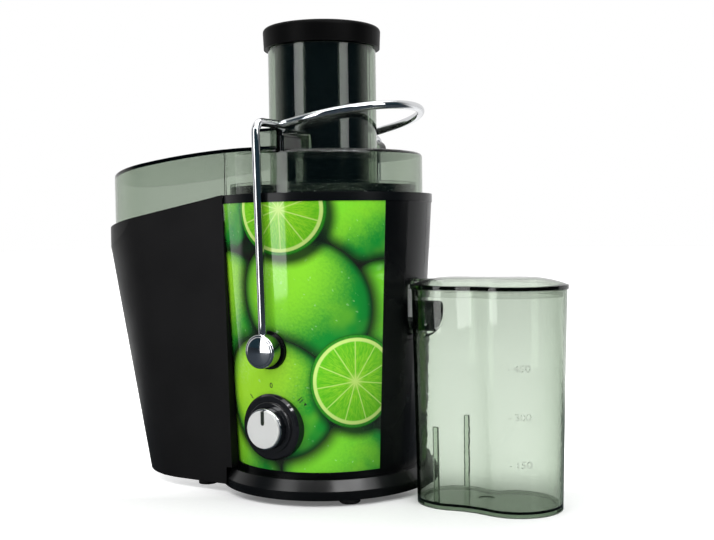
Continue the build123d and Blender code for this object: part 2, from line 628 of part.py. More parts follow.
def spout(radius, start, end):
    """Tube along X through the apron, its mouth slanted to a drip edge."""
    tube = Pos((start + end) / 2, 0, SPOUT_Z) * Rot(Y=90) * Cylinder(radius, end - start + 2 * SPOUT_R)
    slant = math.tan(math.radians(SPOUT_TIP_SLANT)) * SPOUT_R
    low, high = SPOUT_Z - SPOUT_R, SPOUT_Z + SPOUT_R
    keep = side_profile([(start, low), (end - slant, low), (end + slant, high), (start, high)], SPOUT_R)
    return tube & keep


# ------------------------------------------------------------------------------------------- lid
def rim_height(x, below=0.0):
    """Height of the container's sloping rim at a place along X."""
    return TUB_RIM_Z + TUB_RIM_SLOPE * (x - TUB_RIM_X) - below


def long_plan(inner_x, end_x, half_width, height):
    """Plan of cover and container: straight sides from inner_x, then a half-round outer end."""
    turn_x = end_x + half_width
    outline = [
        Line((inner_x, -half_width, height), (inner_x, half_width, height)),
        Line((inner_x, half_width, height), (turn_x, half_width, height)),
        ThreePointArc((turn_x, half_width, height), (end_x, 0, height), (turn_x, -half_width, height)),
        Line((turn_x, -half_width, height), (inner_x, -half_width, height)),
    ]
    return make_face(outline)


def pulp_cover(inset):
    """Solid under the cover's arched top and inside its sides, both inset by a wall."""
    end_x, half_width = COVER_END_X + inset, COVER_HALF_W - inset
    plan = extrude(long_plan(STEP_X, end_x, half_width, 0), LID_TOP_Z * 2)
    plan += extrude(long_plan(0, STEP_X - half_width, half_width - STEP_T, 0), LID_TOP_Z * 2)
    low_end = COVER_END_X - THROUGH
    ridge_z, end_z = COVER_RIDGE_Z - inset, COVER_END_Z - inset
    middle = ((COVER_RIDGE_X + COVER_END_X) / 2, 0, COVER_MIDDLE_Z - inset)
    below = COVER_DIP + inset
    side = [
        ThreePointArc((COVER_RIDGE_X, 0, ridge_z), middle, (low_end, 0, end_z)),
        Line((low_end, 0, end_z), (low_end, 0, rim_height(low_end, below))),
        Line((low_end, 0, rim_height(low_end, below)), (0, 0, rim_height(0, below))),
        Line((0, 0, rim_height(0, below)), (0, 0, ridge_z)),
        Line((0, 0, ridge_z), (COVER_RIDGE_X, 0, ridge_z)),
    ]
    return plan & extrude(make_face(side), 2 * COVER_HALF_W, dir=(0, 1, 0), both=True)


def lid():
    """One moulding: round part, pulp cover, feed chute and the two lugs under the arm."""
    drum = disc(LID_R, FLANGE_TOP_Z, LID_TOP_Z)
    drum = fillet(drum.edges().group_by(Axis.Z)[-1], LID_EDGE_FILLET)
    cover = pulp_cover(0)
    flange_room = disc(FLANGE_R + PLUG_FIT, 0, FLANGE_TOP_Z)
    hollow = disc(LID_R - LID_WALL, FLANGE_TOP_Z - THROUGH, LID_TOP_Z - LID_WALL) + pulp_cover(LID_WALL)
    shell = drum + (cover - flange_room) - hollow
    shell += disc(CHUTE_R, CHUTE_LOW_Z, CHUTE_TOP_Z)
    for side in (-1, 1):
        shell += lug(side)
    return shell - disc(CHUTE_R - CHUTE_WALL, CHUTE_LOW_Z - THROUGH, CHUTE_TOP_Z + THROUGH)


def lug(side):
    """Hollow rib from the chute to the lid's edge that the wire arm presses on."""
    bed = LID_TOP_Z - LID_WALL / 2
    solid = block((LUG_BACK_X, LUG_FRONT_X), (0, LUG_OUT_Y), (bed, LUG_TOP_Z))
    ends = solid.edges().filter_by(Axis.Y).group_by(Axis.Z)[-1]
    solid = fillet(ends.sort_by(Axis.X)[-1], LUG_ROUND)
    room_y = (0, LUG_OUT_Y - LUG_WALL)
    room = block((LUG_BACK_X + LUG_WALL, LUG_FRONT_X - LUG_ROUND), room_y, (0, LUG_TOP_Z - LUG_WALL))
    solid -= room
    return solid if side > 0 else mirror(solid, Plane.XZ)


# ---------------------------------------------------------------------------------------- pusher
def pusher_tube():
    tube = disc(PUSHER_R, PUSHER_LOW_Z, CAP_LOW_Z)
    return tube - disc(PUSHER_R - PUSHER_WALL, PUSHER_LOW_Z + PUSHER_WALL, CAP_LOW_Z + THROUGH)


def pusher_cap():
    """Flared cap with a softened edge that closes the pusher."""
    top = CAP_LOW_Z + CAP_H
    cap = turned((0, CAP_LOW_Z), (CAP_FOOT_R, CAP_LOW_Z), (CAP_R, top), (0, top))
    return fillet(cap.edges().filter_by(GeomType.CIRCLE).sort_by(Axis.Z)[-1], CAP_EDGE)


# ------------------------------------------------------------------------- container for the pulp
def tub_solid(inset):
    """Tapered solid of the container, inset by a wall, cut along the sloping rim."""
    low = TUB_FLOOR_Z + inset
    high = rim_height(0) + TUB_WALL
    upright_x = TUB_TOP_END_X
    knee_z = rim_height(upright_x) - TUB_UPRIGHT_H
    growth = (high - TUB_FLOOR_Z) / (knee_z - TUB_FLOOR_Z)
    end_at_top = TUB_FOOT_END_X + growth * (TUB_TOP_END_X - TUB_FOOT_END_X)
    wing_x = TUB_WING_X - inset
    foot = long_plan(wing_x, TUB_FOOT_END_X + inset, TUB_FOOT_HALF_W - inset, low)
    top = long_plan(wing_x, end_at_top + inset, TUB_TOP_HALF_W - inset, high)
    solid = loft([foot, top])
    upright = long_plan(wing_x, TUB_TOP_END_X + inset, TUB_TOP_HALF_W - inset, 0)
    return solid & extrude(upright, high)


def pulp_container():
    """Open container that nests round the body, its inner wall lower than its rim."""
    body = body_cone(0, rim_height(0) + TUB_WALL, -NEST_GAP) + disc(PLINTH_R + NEST_GAP, 0, LEDGE_Z + NEST_GAP)
    thick = NEST_GAP + TUB_WALL
    walled = body_cone(0, rim_height(0) + TUB_WALL, -thick) + disc(PLINTH_R + thick, 0, LEDGE_Z + thick)
    tub = tub_solid(0) - body
    tub -= tub_solid(TUB_WALL) - walled
    far, near = TUB_TOP_END_X - THROUGH, 0
    above = [(far, rim_height(far)), (near, rim_height(near)), (near, LID_TOP_Z), (far, LID_TOP_Z)]
    tub -= side_profile(above, 2 * TUB_TOP_HALF_W)
    inside_y = TUB_TOP_HALF_W - TUB_WALL
    gate = block((-2 * PLINTH_R, 0), (-inside_y, inside_y), (TUB_INNER_WALL_Z, LID_TOP_Z))
    tub -= gate & body_cone(TUB_INNER_WALL_Z, LID_TOP_Z, -thick - PLUG_FIT)
    for x, y in tub_foot_places():
        tub -= disc(TUB_FOOT_R + PLUG_FIT, 0, TUB_FLOOR_Z + TUB_FOOT_SOCKET, x, y)
    return tub


def tub_foot_places():
    """Two feet beside the plinth and two near the container's outer end."""
    reach = PLINTH_R + NEST_GAP + TUB_NEAR_FOOT_GAP + TUB_FOOT_R
    angle = math.radians(TUB_NEAR_FOOT_ANGLE)
    near = (-reach * math.cos(angle), reach * math.sin(angle))
    far = (TUB_FOOT_END_X + TUB_FAR_FOOT_IN_X, TUB_FOOT_HALF_W - TUB_FAR_FOOT_IN_Y)
    return [near, (near[0], -near[1]), far, (far[0], -far[1])]


def container_feet():
    feet = [disc(TUB_FOOT_R, 0, TUB_FLOOR_Z + TUB_FOOT_SOCKET, x, y) for x, y in tub_foot_places()]
    return separate(feet)


# ------------------------------------------------------------------------------------------- jug
def jug_plan(height, inset=0.0):
    """Waisted plan of the jug at a height: two round lobes joined by hollow flanks."""
    share = height / JUG_H
    near_r = JUG_NEAR_R + share * JUG_NEAR_FLARE - inset
    far_r = JUG_FAR_R + share * JUG_FAR_FLARE - inset
    near, far = Vector(*JUG_NEAR, height), Vector(*JUG_FAR, height)
    length = (far - near).length
    along = (far - near).normalized()
    across = Vector(-along.Y, along.X, 0)

    def flank(side, waist_r):
        """Tangent points of one hollow flank on the near and far lobe, and its middle."""
        offset = ((near_r + waist_r) ** 2 - (far_r + waist_r) ** 2 + length**2) / (2 * length)
        rise = math.sqrt((near_r + waist_r) ** 2 - offset**2)
        centre = near + along * offset + across * (side * rise)
        on_near = near + (centre - near).normalized() * near_r
        on_far = far + (centre - far).normalized() * far_r
        middle = centre - across * (side * waist_r)
        return on_near, middle, on_far

    rear = flank(1, JUG_REAR_WAIST_R + share * JUG_REAR_WAIST_EASE + inset)
    front = flank(-1, JUG_FRONT_WAIST_R + inset)
    outline = [
        ThreePointArc(rear[0], near - along * near_r, front[0]),
        ThreePointArc(*front),
        ThreePointArc(front[2], far + along * far_r, rear[2]),
        ThreePointArc(*reversed(rear)),
    ]
    return make_face(outline)


def jug_solid(low, high, inset=0.0):
    """Flared solid of the jug between two heights."""
    return loft([jug_plan(low, inset), jug_plan(high, inset)])


def notch(radius, start_x, end_x, top):
    """U-shaped prism along X round the spout, up to a given height."""
    prism = Pos((start_x + end_x) / 2, 0, SPOUT_Z) * Rot(Y=90) * Cylinder(radius, end_x - start_x)
    return prism + block((start_x, end_x), (-radius, radius), (SPOUT_Z, top))


def jug():
    """Flared see-through jug with foot recess, guide ribs and the collar round the spout."""
    floor_top = JUG_FOOT_RECESS + JUG_FLOOR
    cavity = jug_solid(floor_top, JUG_H + THROUGH, JUG_WALL)
    notch_r = SPOUT_R + SPOUT_GAP
    body = jug_solid(0, JUG_H) + notch(notch_r + COLLAR_WALL, collar_start(), JUG_NEAR[0], JUG_H)
    body -= cavity
    body -= notch(notch_r, collar_start() - THROUGH, JUG_NEAR[0], JUG_H + THROUGH)
    body -= jug_solid(-THROUGH, JUG_FOOT_RECESS, 2 * JUG_WALL)
    rib_z = (JUG_FOOT_RECESS, RIB_TOP_Z)
    ribs = block((RIB_X - RIB_W / 2, RIB_X + RIB_W / 2), (-PLINTH_R, PLINTH_R), rib_z)
    skin = jug_solid(0, JUG_H, JUG_WALL / 2) - jug_solid(0, JUG_H, JUG_WALL + RIB_DEPTH)
    body += ribs & skin
    gate_top = floor_top + THROUGH
    return body - disc(JUG_GATE_R, floor_top - JUG_GATE_DEPTH, gate_top, *JUG_MIDDLE)


def lid_dome(inset, low):
    """Low dome over the jug's plan, from the given inset inwards."""
    sections = []
    for step in range(JUG_DOME_STEPS + 1):
        share = step / JUG_DOME_STEPS
        rise = JUG_DOME_H * (1 - (1 - share) ** 2)
        plan = jug_plan(JUG_H, inset + share * (JUG_DOME_IN - inset))
        sections.append(Pos(0, 0, low + rise - JUG_H) * plan)
    return loft(sections)


def jug_lid():
    """Domed lid with a skirt inside the jug's rim and a hollow beak over the spout."""
    top = JUG_LID_LOW_Z + JUG_LID_T
    plate = extrude(jug_plan(JUG_H, -JUG_LID_OVERHANG), JUG_LID_T)
    plate = Pos(0, 0, JUG_LID_LOW_Z - JUG_H) * plate
    plate += lid_dome(-JUG_LID_OVERHANG, top)
    collar_r = SPOUT_R + SPOUT_GAP + COLLAR_WALL
    plate += block((collar_start(), JUG_NEAR[0]), (-collar_r, collar_r), (JUG_LID_LOW_Z, top))
    skirt_inset = JUG_WALL + FREE_GAP
    plate -= lid_dome(skirt_inset + JUG_LID_SKIRT_T, JUG_LID_LOW_Z)
    beak = block((collar_start(), BEAK_END_X), (-BEAK_HALF_W, BEAK_HALF_W), (JUG_LID_LOW_Z, BEAK_TOP_Z))
    beak = chamfer(beak.edges().group_by(Axis.Z)[-1], BEAK_WALL)
    plate += beak
    room_x = (collar_start() + BEAK_WALL, BEAK_END_X - BEAK_WALL)
    room_y = BEAK_HALF_W - BEAK_WALL
    plate -= block(room_x, (-room_y, room_y), (JUG_H, BEAK_TOP_Z - BEAK_WALL))
    rim = JUG_H - JUG_LID_SKIRT
    skirt = extrude(jug_plan(rim, skirt_inset), JUG_LID_LOW_Z - rim)
    skirt -= extrude(jug_plan(rim, skirt_inset + JUG_LID_SKIRT_T), JUG_LID_LOW_Z - rim)
    skirt -= notch(SPOUT_R + SPOUT_GAP, 0, JUG_NEAR[0], JUG_LID_LOW_Z)
    return plate + skirt


# ----------------------------------------------------------------------------------- locking arm
def bend(start, corner, end, radius):
    """Tangent arc round the corner of a wire: its start, middle and end."""
    into, out = (corner - start).normalized(), (end - corner).normalized()
    turn = math.acos(into.dot(out))
    reach = radius * math.tan(turn / 2)
    inward = (out - into).normalized()
    middle = corner + inward * (radius / math.cos(turn / 2) - radius)
    return corner - into * reach, middle, corner + out * reach


def arm_wire():
    """One bent wire: up the front, round the chute over the lid and down the back."""
    tilt = math.radians(WIRE_LOOP_TILT)
    rising = Vector(math.cos(tilt), 0, math.sin(tilt))
    foot = Vector(0, -WIRE_FOOT_Y, WIRE_FOOT_Z)
    shoulder = Vector(0, -WIRE_SHOULDER_Y, WIRE_SHOULDER_Z)
    inner = Vector(0, -WIRE_LOOP_R, WIRE_SHOULDER_Z)
    outer_bend = bend(foot, shoulder, inner, WIRE_SHOULDER_BEND)
    inner_bend = bend(shoulder, inner, inner + rising, WIRE_INNER_BEND)
    loop_start = inner + rising * WIRE_LOOP_REACH
    middle = Vector(loop_start.X, 0, loop_start.Z) + rising * WIRE_LOOP_R

    def other_side(point):
        return Vector(point.X, -point.Y, point.Z)

    front = [
        Line(foot, outer_bend[0]), ThreePointArc(*outer_bend), Line(outer_bend[2], inner_bend[0]),
        ThreePointArc(*inner_bend), Line(inner_bend[2], loop_start),
    ]
    loop = ThreePointArc(loop_start, middle, other_side(loop_start))
    back_inner = [other_side(point) for point in reversed(inner_bend)]
    back_outer = [other_side(point) for point in reversed(outer_bend)]
    back = [
        Line(other_side(loop_start), back_inner[0]), ThreePointArc(*back_inner),
        Line(back_inner[2], back_outer[0]), ThreePointArc(*back_outer),
        Line(back_outer[2], other_side(foot)),
    ]
    path = Wire([*front, loop, *back])
    section = Plane(origin=foot, z_dir=shoulder - foot) * Circle(WIRE_R)
    return sweep(section, path=path)


def arm_bosses(wire):
    """Round pivot bosses with the sockets for the pins and the wire's ends."""
    boss = rod(BOSS_R, -BOSS_IN_Y, -BOSS_OUT_Y, PIVOT_Z)
    boss = fillet(boss.edges().group_by(Axis.Y)[0], BOSS_EDGE)
    boss -= rod(PIVOT_PIN_R, 0, -PIN_END_Y, PIVOT_Z)
    return separate([boss - wire, mirror(boss, Plane.XZ) - wire])


def pivot_pins():
    """Pins fixed in the bosses; the rear one is longer, for the cam."""
    front = rod(PIVOT_PIN_R, -PIN_END_Y, -PIVOT_SLEEVE_Y + FREE_GAP + CLIP_T + THROUGH, PIVOT_Z)
    rear = rod(PIVOT_PIN_R, PIN_END_Y, PIVOT_SLEEVE_Y - FREE_GAP - CAM_T - CLIP_T - THROUGH, PIVOT_Z)
    return separate([front, rear])


def pin_clips():
    """Retaining clips pressed on the inner ends of the pins."""
    front_y = -PIVOT_SLEEVE_Y + FREE_GAP
    rear_y = PIVOT_SLEEVE_Y - FREE_GAP - CAM_T
    front = rod(CLIP_R, front_y, front_y + CLIP_T, PIVOT_Z)
    rear = rod(CLIP_R, rear_y, rear_y - CLIP_T, PIVOT_Z)
    pin = rod(PIVOT_PIN_R, -PLINTH_R, PLINTH_R, PIVOT_Z)
    return separate([front - pin, rear - pin])


def lock_cam():
    """Cam on the rear pin whose lobe closes the safety switch while the arm is up."""
    high = PIVOT_SLEEVE_Y - FREE_GAP
    low = high - CAM_T
    cam = rod(CAM_R - CAM_LOBE, low, high, PIVOT_Z)
    cam += rod(CAM_R / 2, low, high, PIVOT_Z - CAM_R / 2)
    return cam - rod(PIVOT_PIN_R, low - THROUGH, high + THROUGH, PIVOT_Z)


def safety_switch():
    """Snap switch under the cam, screwed to the body's pad."""
    length, width, height = SWITCHBOX_SIZE
    top = PIVOT_Z - CAM_R - FREE_GAP - SWITCHBOX_BUTTON
    box = block((-length / 2, length / 2), (SWITCHBOX_Y, SWITCHBOX_Y + width), (top - height, top))
    middle = PIVOT_SLEEVE_Y - FREE_GAP - CAM_T / 2
    return box + disc(SWITCHBOX_BUTTON, top - THROUGH, top + SWITCHBOX_BUTTON, 0, middle)


# ---------------------------------------------------------------------------------------- knob
def knob_bezel():
    """Stepped round bezel whose back follows the panel and whose collar drops through it."""
    base = rod(BEZEL_R, 0, -BEZEL_Y, KNOB_Z)
    base = chamfer(base.edges().group_by(Axis.Y)[0], BEZEL_CHAMFER)
    base -= body_cone(0, HOUSING_TOP_Z, -PLUG_FIT / 2)
    collar = rod(BEZEL_RING_R, 0, -BEZEL_RING_Y, KNOB_Z)
    collar = fillet(collar.edges().group_by(Axis.Y)[0], BEZEL_CHAMFER / 2)
    collar -= body_cone(0, HOUSING_TOP_Z, PANEL_T)
    bezel = base + collar
    return bezel - rod(KNOB_R + FREE_GAP, 0, -2 * PLINTH_R, KNOB_Z)


def knob():
    """Plated knob body with a blind bore for the spindle."""
    body = rod(KNOB_R, -KNOB_BACK_Y, -KNOB_FACE_Y, KNOB_Z)
    body = fillet(body.edges().group_by(Axis.Y)[0], KNOB_EDGE)
    return body - rod(SPINDLE_R, 0, -SPINDLE_END_Y, KNOB_Z)


def knob_cap():
    """Satin face of the knob with the pointer notch at its top."""
    out = KNOB_FACE_Y + KNOB_CAP_T
    cap = rod(KNOB_CAP_R, -KNOB_FACE_Y, -out, KNOB_Z)
    top = KNOB_Z + KNOB_CAP_R
    half = NOTCH_W / 2
    return cap - block((-half, half), (-out - THROUGH, -KNOB_FACE_Y + THROUGH), (top - NOTCH_L, top + THROUGH))


def switch_spindle():
    return rod(SPINDLE_R, -SWITCH_FACE_Y + SWITCH_DEPTH / 2, -SPINDLE_END_Y, KNOB_Z)


def rotary_switch():
    """Switch body behind the knob, with the bore that its spindle turns in."""
    z = (KNOB_Z - SWITCH_HALF, KNOB_Z + SWITCH_HALF)
    body = block((-SWITCH_HALF, SWITCH_HALF), (-SWITCH_FACE_Y, -SWITCH_FACE_Y + SWITCH_DEPTH), z)
    bore_end = -SWITCH_FACE_Y + SWITCH_DEPTH / 2 + FREE_GAP
    return body - rod(SPINDLE_R + RUNNING_FIT, -PLINTH_R, bore_end, KNOB_Z)


# ---------------------------------------------------------------------------------------- motor
def pillar_places():
    return [(x, y) for x in (-PILLAR_X, PILLAR_X) for y in (-PILLAR_Y, PILLAR_Y)]


def motor_plan(low, high):
    """Rounded rectangle of the motor between two heights."""
    plan = RectangleRounded(2 * STACK_HALF_X, 2 * STACK_HALF_Y, STACK_CORNER_R)
    return extrude(Pos(0, 0, low) * plan, high - low)


def coil(side):
    """Field coil wound round one pole."""
    y = sorted((side * COIL_IN_Y, side * COIL_OUT_Y))
    inner_x = COIL_HALF_X - COIL_T
    outer_z = (STACK_LOW_Z - COIL_REACH - COIL_GAP, STACK_TOP_Z + COIL_REACH + COIL_GAP)
    inner_z = (STACK_LOW_Z - COIL_GAP, STACK_TOP_Z + COIL_GAP)
    body = block((-COIL_HALF_X, COIL_HALF_X), y, outer_z)
    body = fillet(body.edges().filter_by(Axis.Y), COIL_T / 2)
    return body - block((-inner_x, inner_x), (y[0] - THROUGH, y[1] + THROUGH), inner_z)


def stator_core():
    """Lamination stack with its bore, coil slots and bolt holes."""
    core = motor_plan(STACK_LOW_Z, STACK_TOP_Z)
    core -= disc(ARMATURE_R + AIR_GAP, STACK_LOW_Z - THROUGH, STACK_TOP_Z + THROUGH)
    z = (STACK_LOW_Z - THROUGH, STACK_TOP_Z + THROUGH)
    pole_x = COIL_HALF_X - COIL_T - COIL_GAP
    for side in (-1, 1):
        y = sorted((side * (COIL_IN_Y - COIL_GAP), side * (COIL_OUT_Y + COIL_GAP)))
        window = (pole_x, COIL_HALF_X + COIL_GAP)
        core -= block(window, y, z)
        core -= block((-window[1], -window[0]), y, z)
    for x, y in pillar_places():
        core -= disc(BOLT_R + PLUG_FIT, *z, x, y)
    return core


def field_coils():
    return separate([coil(-1), coil(1)])


def bracket(plate_low, bearing_r, bearing_h, pillar_low, pillar_high):
    """End bracket: plate, bearing cup under the plate and four pillars to the stack."""
    plate_top = plate_low + BRACKET_T
    piece = motor_plan(plate_low, plate_top)
    piece += disc(bearing_r + CUP_WALL, plate_top - bearing_h, plate_top)
    for x, y in pillar_places():
        piece += disc(PILLAR_R, pillar_low, pillar_high, x, y)
        piece -= disc(BOLT_R + PLUG_FIT, pillar_low - THROUGH, pillar_high + THROUGH, x, y)
        piece -= disc(BOLT_R + PLUG_FIT, plate_low - THROUGH, plate_top + THROUGH, x, y)
    return piece - disc(bearing_r, plate_top - bearing_h - THROUGH, plate_top + THROUGH)


def lower_bracket():
    low = LOWER_PLATE_TOP_Z - BRACKET_T
    return bracket(low, LOWER_BEARING_R, LOWER_BEARING_H, LOWER_PLATE_TOP_Z, STACK_LOW_Z)


def upper_bracket():
    return bracket(UPPER_PLATE_Z, UPPER_BEARING_R, UPPER_BEARING_H, STACK_TOP_Z, UPPER_PLATE_Z)


def lower_bearing():
    bore = SHAFT_R + RUNNING_FIT
    return ring(LOWER_BEARING_R, bore, LOWER_PLATE_TOP_Z - LOWER_BEARING_H, LOWER_PLATE_TOP_Z)


def upper_bearing():
    top = UPPER_PLATE_Z + BRACKET_T
    return ring(UPPER_BEARING_R, SHAFT_R + RUNNING_FIT, top - UPPER_BEARING_H, top)


def motor_bolts():
    """Long bolts through both brackets and the stack, with heads and nuts."""
    low = LOWER_PLATE_TOP_Z - BRACKET_T
    high = UPPER_PLATE_Z + BRACKET_T
    bolts = []
    for x, y in pillar_places():
        bolt = disc(BOLT_R, low, high, x, y)
        bolt += disc(BOLT_HEAD_R, low - BOLT_HEAD_H, low, x, y)
        bolts.append(bolt + disc(BOLT_HEAD_R, high, high + BOLT_HEAD_H, x, y))
    return separate(bolts)


def motor_shaft():
    return disc(SHAFT_R, SHAFT_LOW_Z, SHAFT_TOP_Z)


def armature_core():
    core = ring(ARMATURE_R, SHAFT_R, STACK_LOW_Z, STACK_TOP_Z)
    z = (STACK_LOW_Z - THROUGH, STACK_TOP_Z + THROUGH)
    half = ARMATURE_SLOT_W / 2
    slot = block((ARMATURE_R - ARMATURE_SLOT_DEPTH, ARMATURE_R + THROUGH), (-half, half), z)
    return core - around(slot, evenly(ARMATURE_SLOTS))


def armature_windings():
    low = ring(WINDING_R, SHAFT_R, STACK_LOW_Z - WINDING_H, STACK_LOW_Z)
    high = ring(WINDING_R, SHAFT_R, STACK_TOP_Z, STACK_TOP_Z + WINDING_H)
    return separate([low, high])


def commutator():
    return ring(COMMUTATOR_R, SHAFT_R, COMMUTATOR_LOW_Z, COMMUTATOR_TOP_Z)


def brush(side):
    middle = (COMMUTATOR_LOW_Z + COMMUTATOR_TOP_Z) / 2
    x = sorted((side * (COMMUTATOR_R + BRUSH_GAP), side * BRUSH_END_X))
    return block(x, (-BRUSH_HALF, BRUSH_HALF), (middle - BRUSH_HALF, middle + BRUSH_HALF))


def brush_holder(side):
    """Box guide round a brush that stands on the lower bracket."""
    middle = (COMMUTATOR_LOW_Z + COMMUTATOR_TOP_Z) / 2
    outer = BRUSH_HALF + HOLDER_WALL
    inner = BRUSH_HALF + PLUG_FIT
    x = sorted((side * HOLDER_START_X, side * HOLDER_END_X))
    bore_x = sorted((side * (HOLDER_START_X - THROUGH), side * (BRUSH_END_X + PLUG_FIT)))
    body = block(x, (-outer, outer), (LOWER_PLATE_TOP_Z, middle + outer))
    return body - block(bore_x, (-inner, inner), (middle - inner, middle + inner))


def carbon_brushes():
    return separate([brush(-1), brush(1)])


def brush_holders():
    return separate([brush_holder(-1), brush_holder(1)])


def cooling_fan():
    """Radial fan on the lower end of the shaft."""
    fan = disc(FAN_HUB_R, FAN_LOW_Z, FAN_TOP_Z) + disc(FAN_R, FAN_TOP_Z - FAN_PLATE_T, FAN_TOP_Z)
    half = FAN_BLADE_T / 2
    blade = block((FAN_HUB_R - THROUGH, FAN_R - THROUGH), (-half, half), (FAN_LOW_Z, FAN_TOP_Z))
    fan += around(blade, evenly(FAN_BLADES))
    return fan - disc(SHAFT_R, FAN_LOW_Z - THROUGH, FAN_TOP_Z + THROUGH)


def motor_dampers():
    """Rubber mounts between the upper bracket and the deck."""
    damper = disc(DAMPER_R, UPPER_PLATE_Z + BRACKET_T, DECK_Z - DECK_T, x=DAMPER_CIRCLE_R)
    return separate(around(damper, evenly(4)))


def shaft_seal():
    return ring(SEAL_R, SHAFT_R + RUNNING_FIT, DECK_Z - DECK_T, SEAL_COLLAR_TOP_Z)


# ------------------------------------------------------------------------------ filter and drive
def lobed(low, high, growth=0.0):
    """Drive shape: a round core with rounded lobes."""
    shape = disc(COUPLING_CORE_R + growth, low, high)
    half = COUPLING_LOBE_W / 2 + growth
    lobe = block((0, COUPLING_LOBE_R - half + growth), (-half, half), (low, high))
    lobe += disc(half, low, high, x=COUPLING_LOBE_R - half + growth)
    return shape + around(lobe, evenly(COUPLING_LOBES))


def drive_coupling():
    piece = lobed(COUPLING_LOW_Z, COUPLING_TOP_Z)
    return piece - disc(SHAFT_R, COUPLING_LOW_Z - THROUGH, SHAFT_TOP_Z)


def filter_hub():
    """Plastic base of the filter with the lobed socket and the skirt round the chimney."""
    hub = disc(HUB_R, HUB_FLOOR_Z, HUB_TOP_Z)
    hub += disc(HUB_BOSS_R, HUB_BOSS_LOW_Z, HUB_FLOOR_Z)
    hub += ring(HUB_SKIRT_R, HUB_SKIRT_BORE_R, HUB_SKIRT_LOW_Z, HUB_FLOOR_Z)
    return hub - lobed(HUB_BOSS_LOW_Z - THROUGH, COUPLING_TOP_Z, PLUG_FIT)


def cone_radius(height):
    share = (height - HUB_TOP_Z) / (CONE_TOP_Z - HUB_TOP_Z)
    return CONE_FOOT_R + share * (CONE_TOP_R - CONE_FOOT_R)


def filter_cone():
    """Steel sieve: a thin cone pierced by rows of upright slots."""
    cone = turned(
        (CONE_FOOT_R, HUB_TOP_Z), (CONE_TOP_R, CONE_TOP_Z), (CONE_TOP_R - CONE_T, CONE_TOP_Z),
        (CONE_FOOT_R - CONE_T, HUB_TOP_Z),
    )
    row_h = (RIM_LOW_Z - HUB_TOP_Z) / SIEVE_ROWS
    half = SIEVE_SLOT_W / 2
    slots = []
    for row in range(SIEVE_ROWS):
        middle = HUB_TOP_Z + (row + 0.5) * row_h
        z = (middle - row_h * SIEVE_SLOT_SHARE / 2, middle + row_h * SIEVE_SLOT_SHARE / 2)
        slot = block((CONE_FOOT_R / 2, CONE_TOP_R + THROUGH), (-half, half), z)
        slots += around(slot, evenly(SIEVE_COLUMNS, row * 180 / SIEVE_COLUMNS))
    return cone - slots


def filter_rim():
    """Plastic ring round the top of the sieve."""
    low = (cone_radius(RIM_LOW_Z), RIM_LOW_Z)
    top = RIM_LOW_Z + RIM_H
    return turned(low, (RIM_R, RIM_LOW_Z), (RIM_R, top), (CONE_TOP_R, top), (CONE_TOP_R, CONE_TOP_Z))


def grater_disc():
    """Steel disc with wedge teeth in curved rows."""
    top = HUB_TOP_Z + GRATER_T
    disc_piece = disc(GRATER_R, HUB_TOP_Z, top)
    half = GRATER_TOOTH_W / 2
    root = top - GRATER_TOOTH_ROOT
    wedge = side_profile([(0, root), (GRATER_TOOTH_L, root), (0, top + GRATER_TOOTH_H)], half)
    wedge = Rot(Z=90) * wedge
    teeth = []
    for step in range(GRATER_TEETH):
        placed = Pos(GRATER_START_R + step * GRATER_STEP, -GRATER_TOOTH_L / 2, 0) * wedge
        teeth += around(placed, evenly(GRATER_ARMS, step * GRATER_TWIST))
    return disc_piece + teeth


# ------------------------------------------------------------------------------------- assembly
def build():
    """Every piece of the juicer by its node name."""
    wire = arm_wire()
    makers = [
        motor_housing, front_panel, base_plate, base_feet, base_screws, cord_gland, juice_bowl, lid,
        pusher_tube, pusher_cap, pulp_container, container_feet, jug, jug_lid, pivot_pins, pin_clips,
        lock_cam, safety_switch, knob_bezel, knob, knob_cap, switch_spindle, rotary_switch, stator_core,
        field_coils, lower_bracket, upper_bracket, lower_bearing, upper_bearing, motor_bolts,
        motor_shaft, armature_core, armature_windings, commutator, carbon_brushes, brush_holders,
        cooling_fan, motor_dampers, shaft_seal, drive_coupling, filter_hub, filter_cone, filter_rim,
        grater_disc,
    ]
    pieces = {maker.__name__: maker() for maker in makers}
    pieces["arm_wire"] = wire
    pieces["arm_bosses"] = arm_bosses(wire)
    return pieces


def footprint_centre(pieces):
    """Middle of the whole object's box in plan, which becomes the origin."""
    box = separate(pieces.values()).bounding_box()
    return (box.min.X + box.max.X) / 2, (box.min.Y + box.max.Y) / 2


def write_parts(pieces):
    os.makedirs("parts", exist_ok=True)
    x, y = footprint_centre(pieces)
    for name, piece in pieces.items():
        export_step(Pos(-x, -y, 0) * piece, f"parts/{name}.step")


if __name__ == "__main__":
    write_parts(build())
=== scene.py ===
import bmesh
import bpy
import math
from mathutils import Matrix, Vector
from mathutils.bvhtree import BVHTree


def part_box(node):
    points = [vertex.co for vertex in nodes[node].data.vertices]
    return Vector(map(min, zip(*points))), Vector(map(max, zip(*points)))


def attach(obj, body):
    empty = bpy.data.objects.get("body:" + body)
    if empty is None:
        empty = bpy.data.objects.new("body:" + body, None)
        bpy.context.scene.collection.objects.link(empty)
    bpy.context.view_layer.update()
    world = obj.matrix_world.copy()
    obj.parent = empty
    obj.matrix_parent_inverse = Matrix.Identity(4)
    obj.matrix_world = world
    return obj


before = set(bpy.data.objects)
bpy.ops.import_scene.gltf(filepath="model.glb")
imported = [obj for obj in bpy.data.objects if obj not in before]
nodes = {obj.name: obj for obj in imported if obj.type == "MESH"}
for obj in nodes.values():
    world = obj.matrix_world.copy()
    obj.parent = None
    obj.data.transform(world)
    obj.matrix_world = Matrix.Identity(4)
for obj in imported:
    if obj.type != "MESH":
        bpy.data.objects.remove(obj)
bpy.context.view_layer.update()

# ---------------------------------------------------------------- places taken from the frame
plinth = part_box("base_plate")
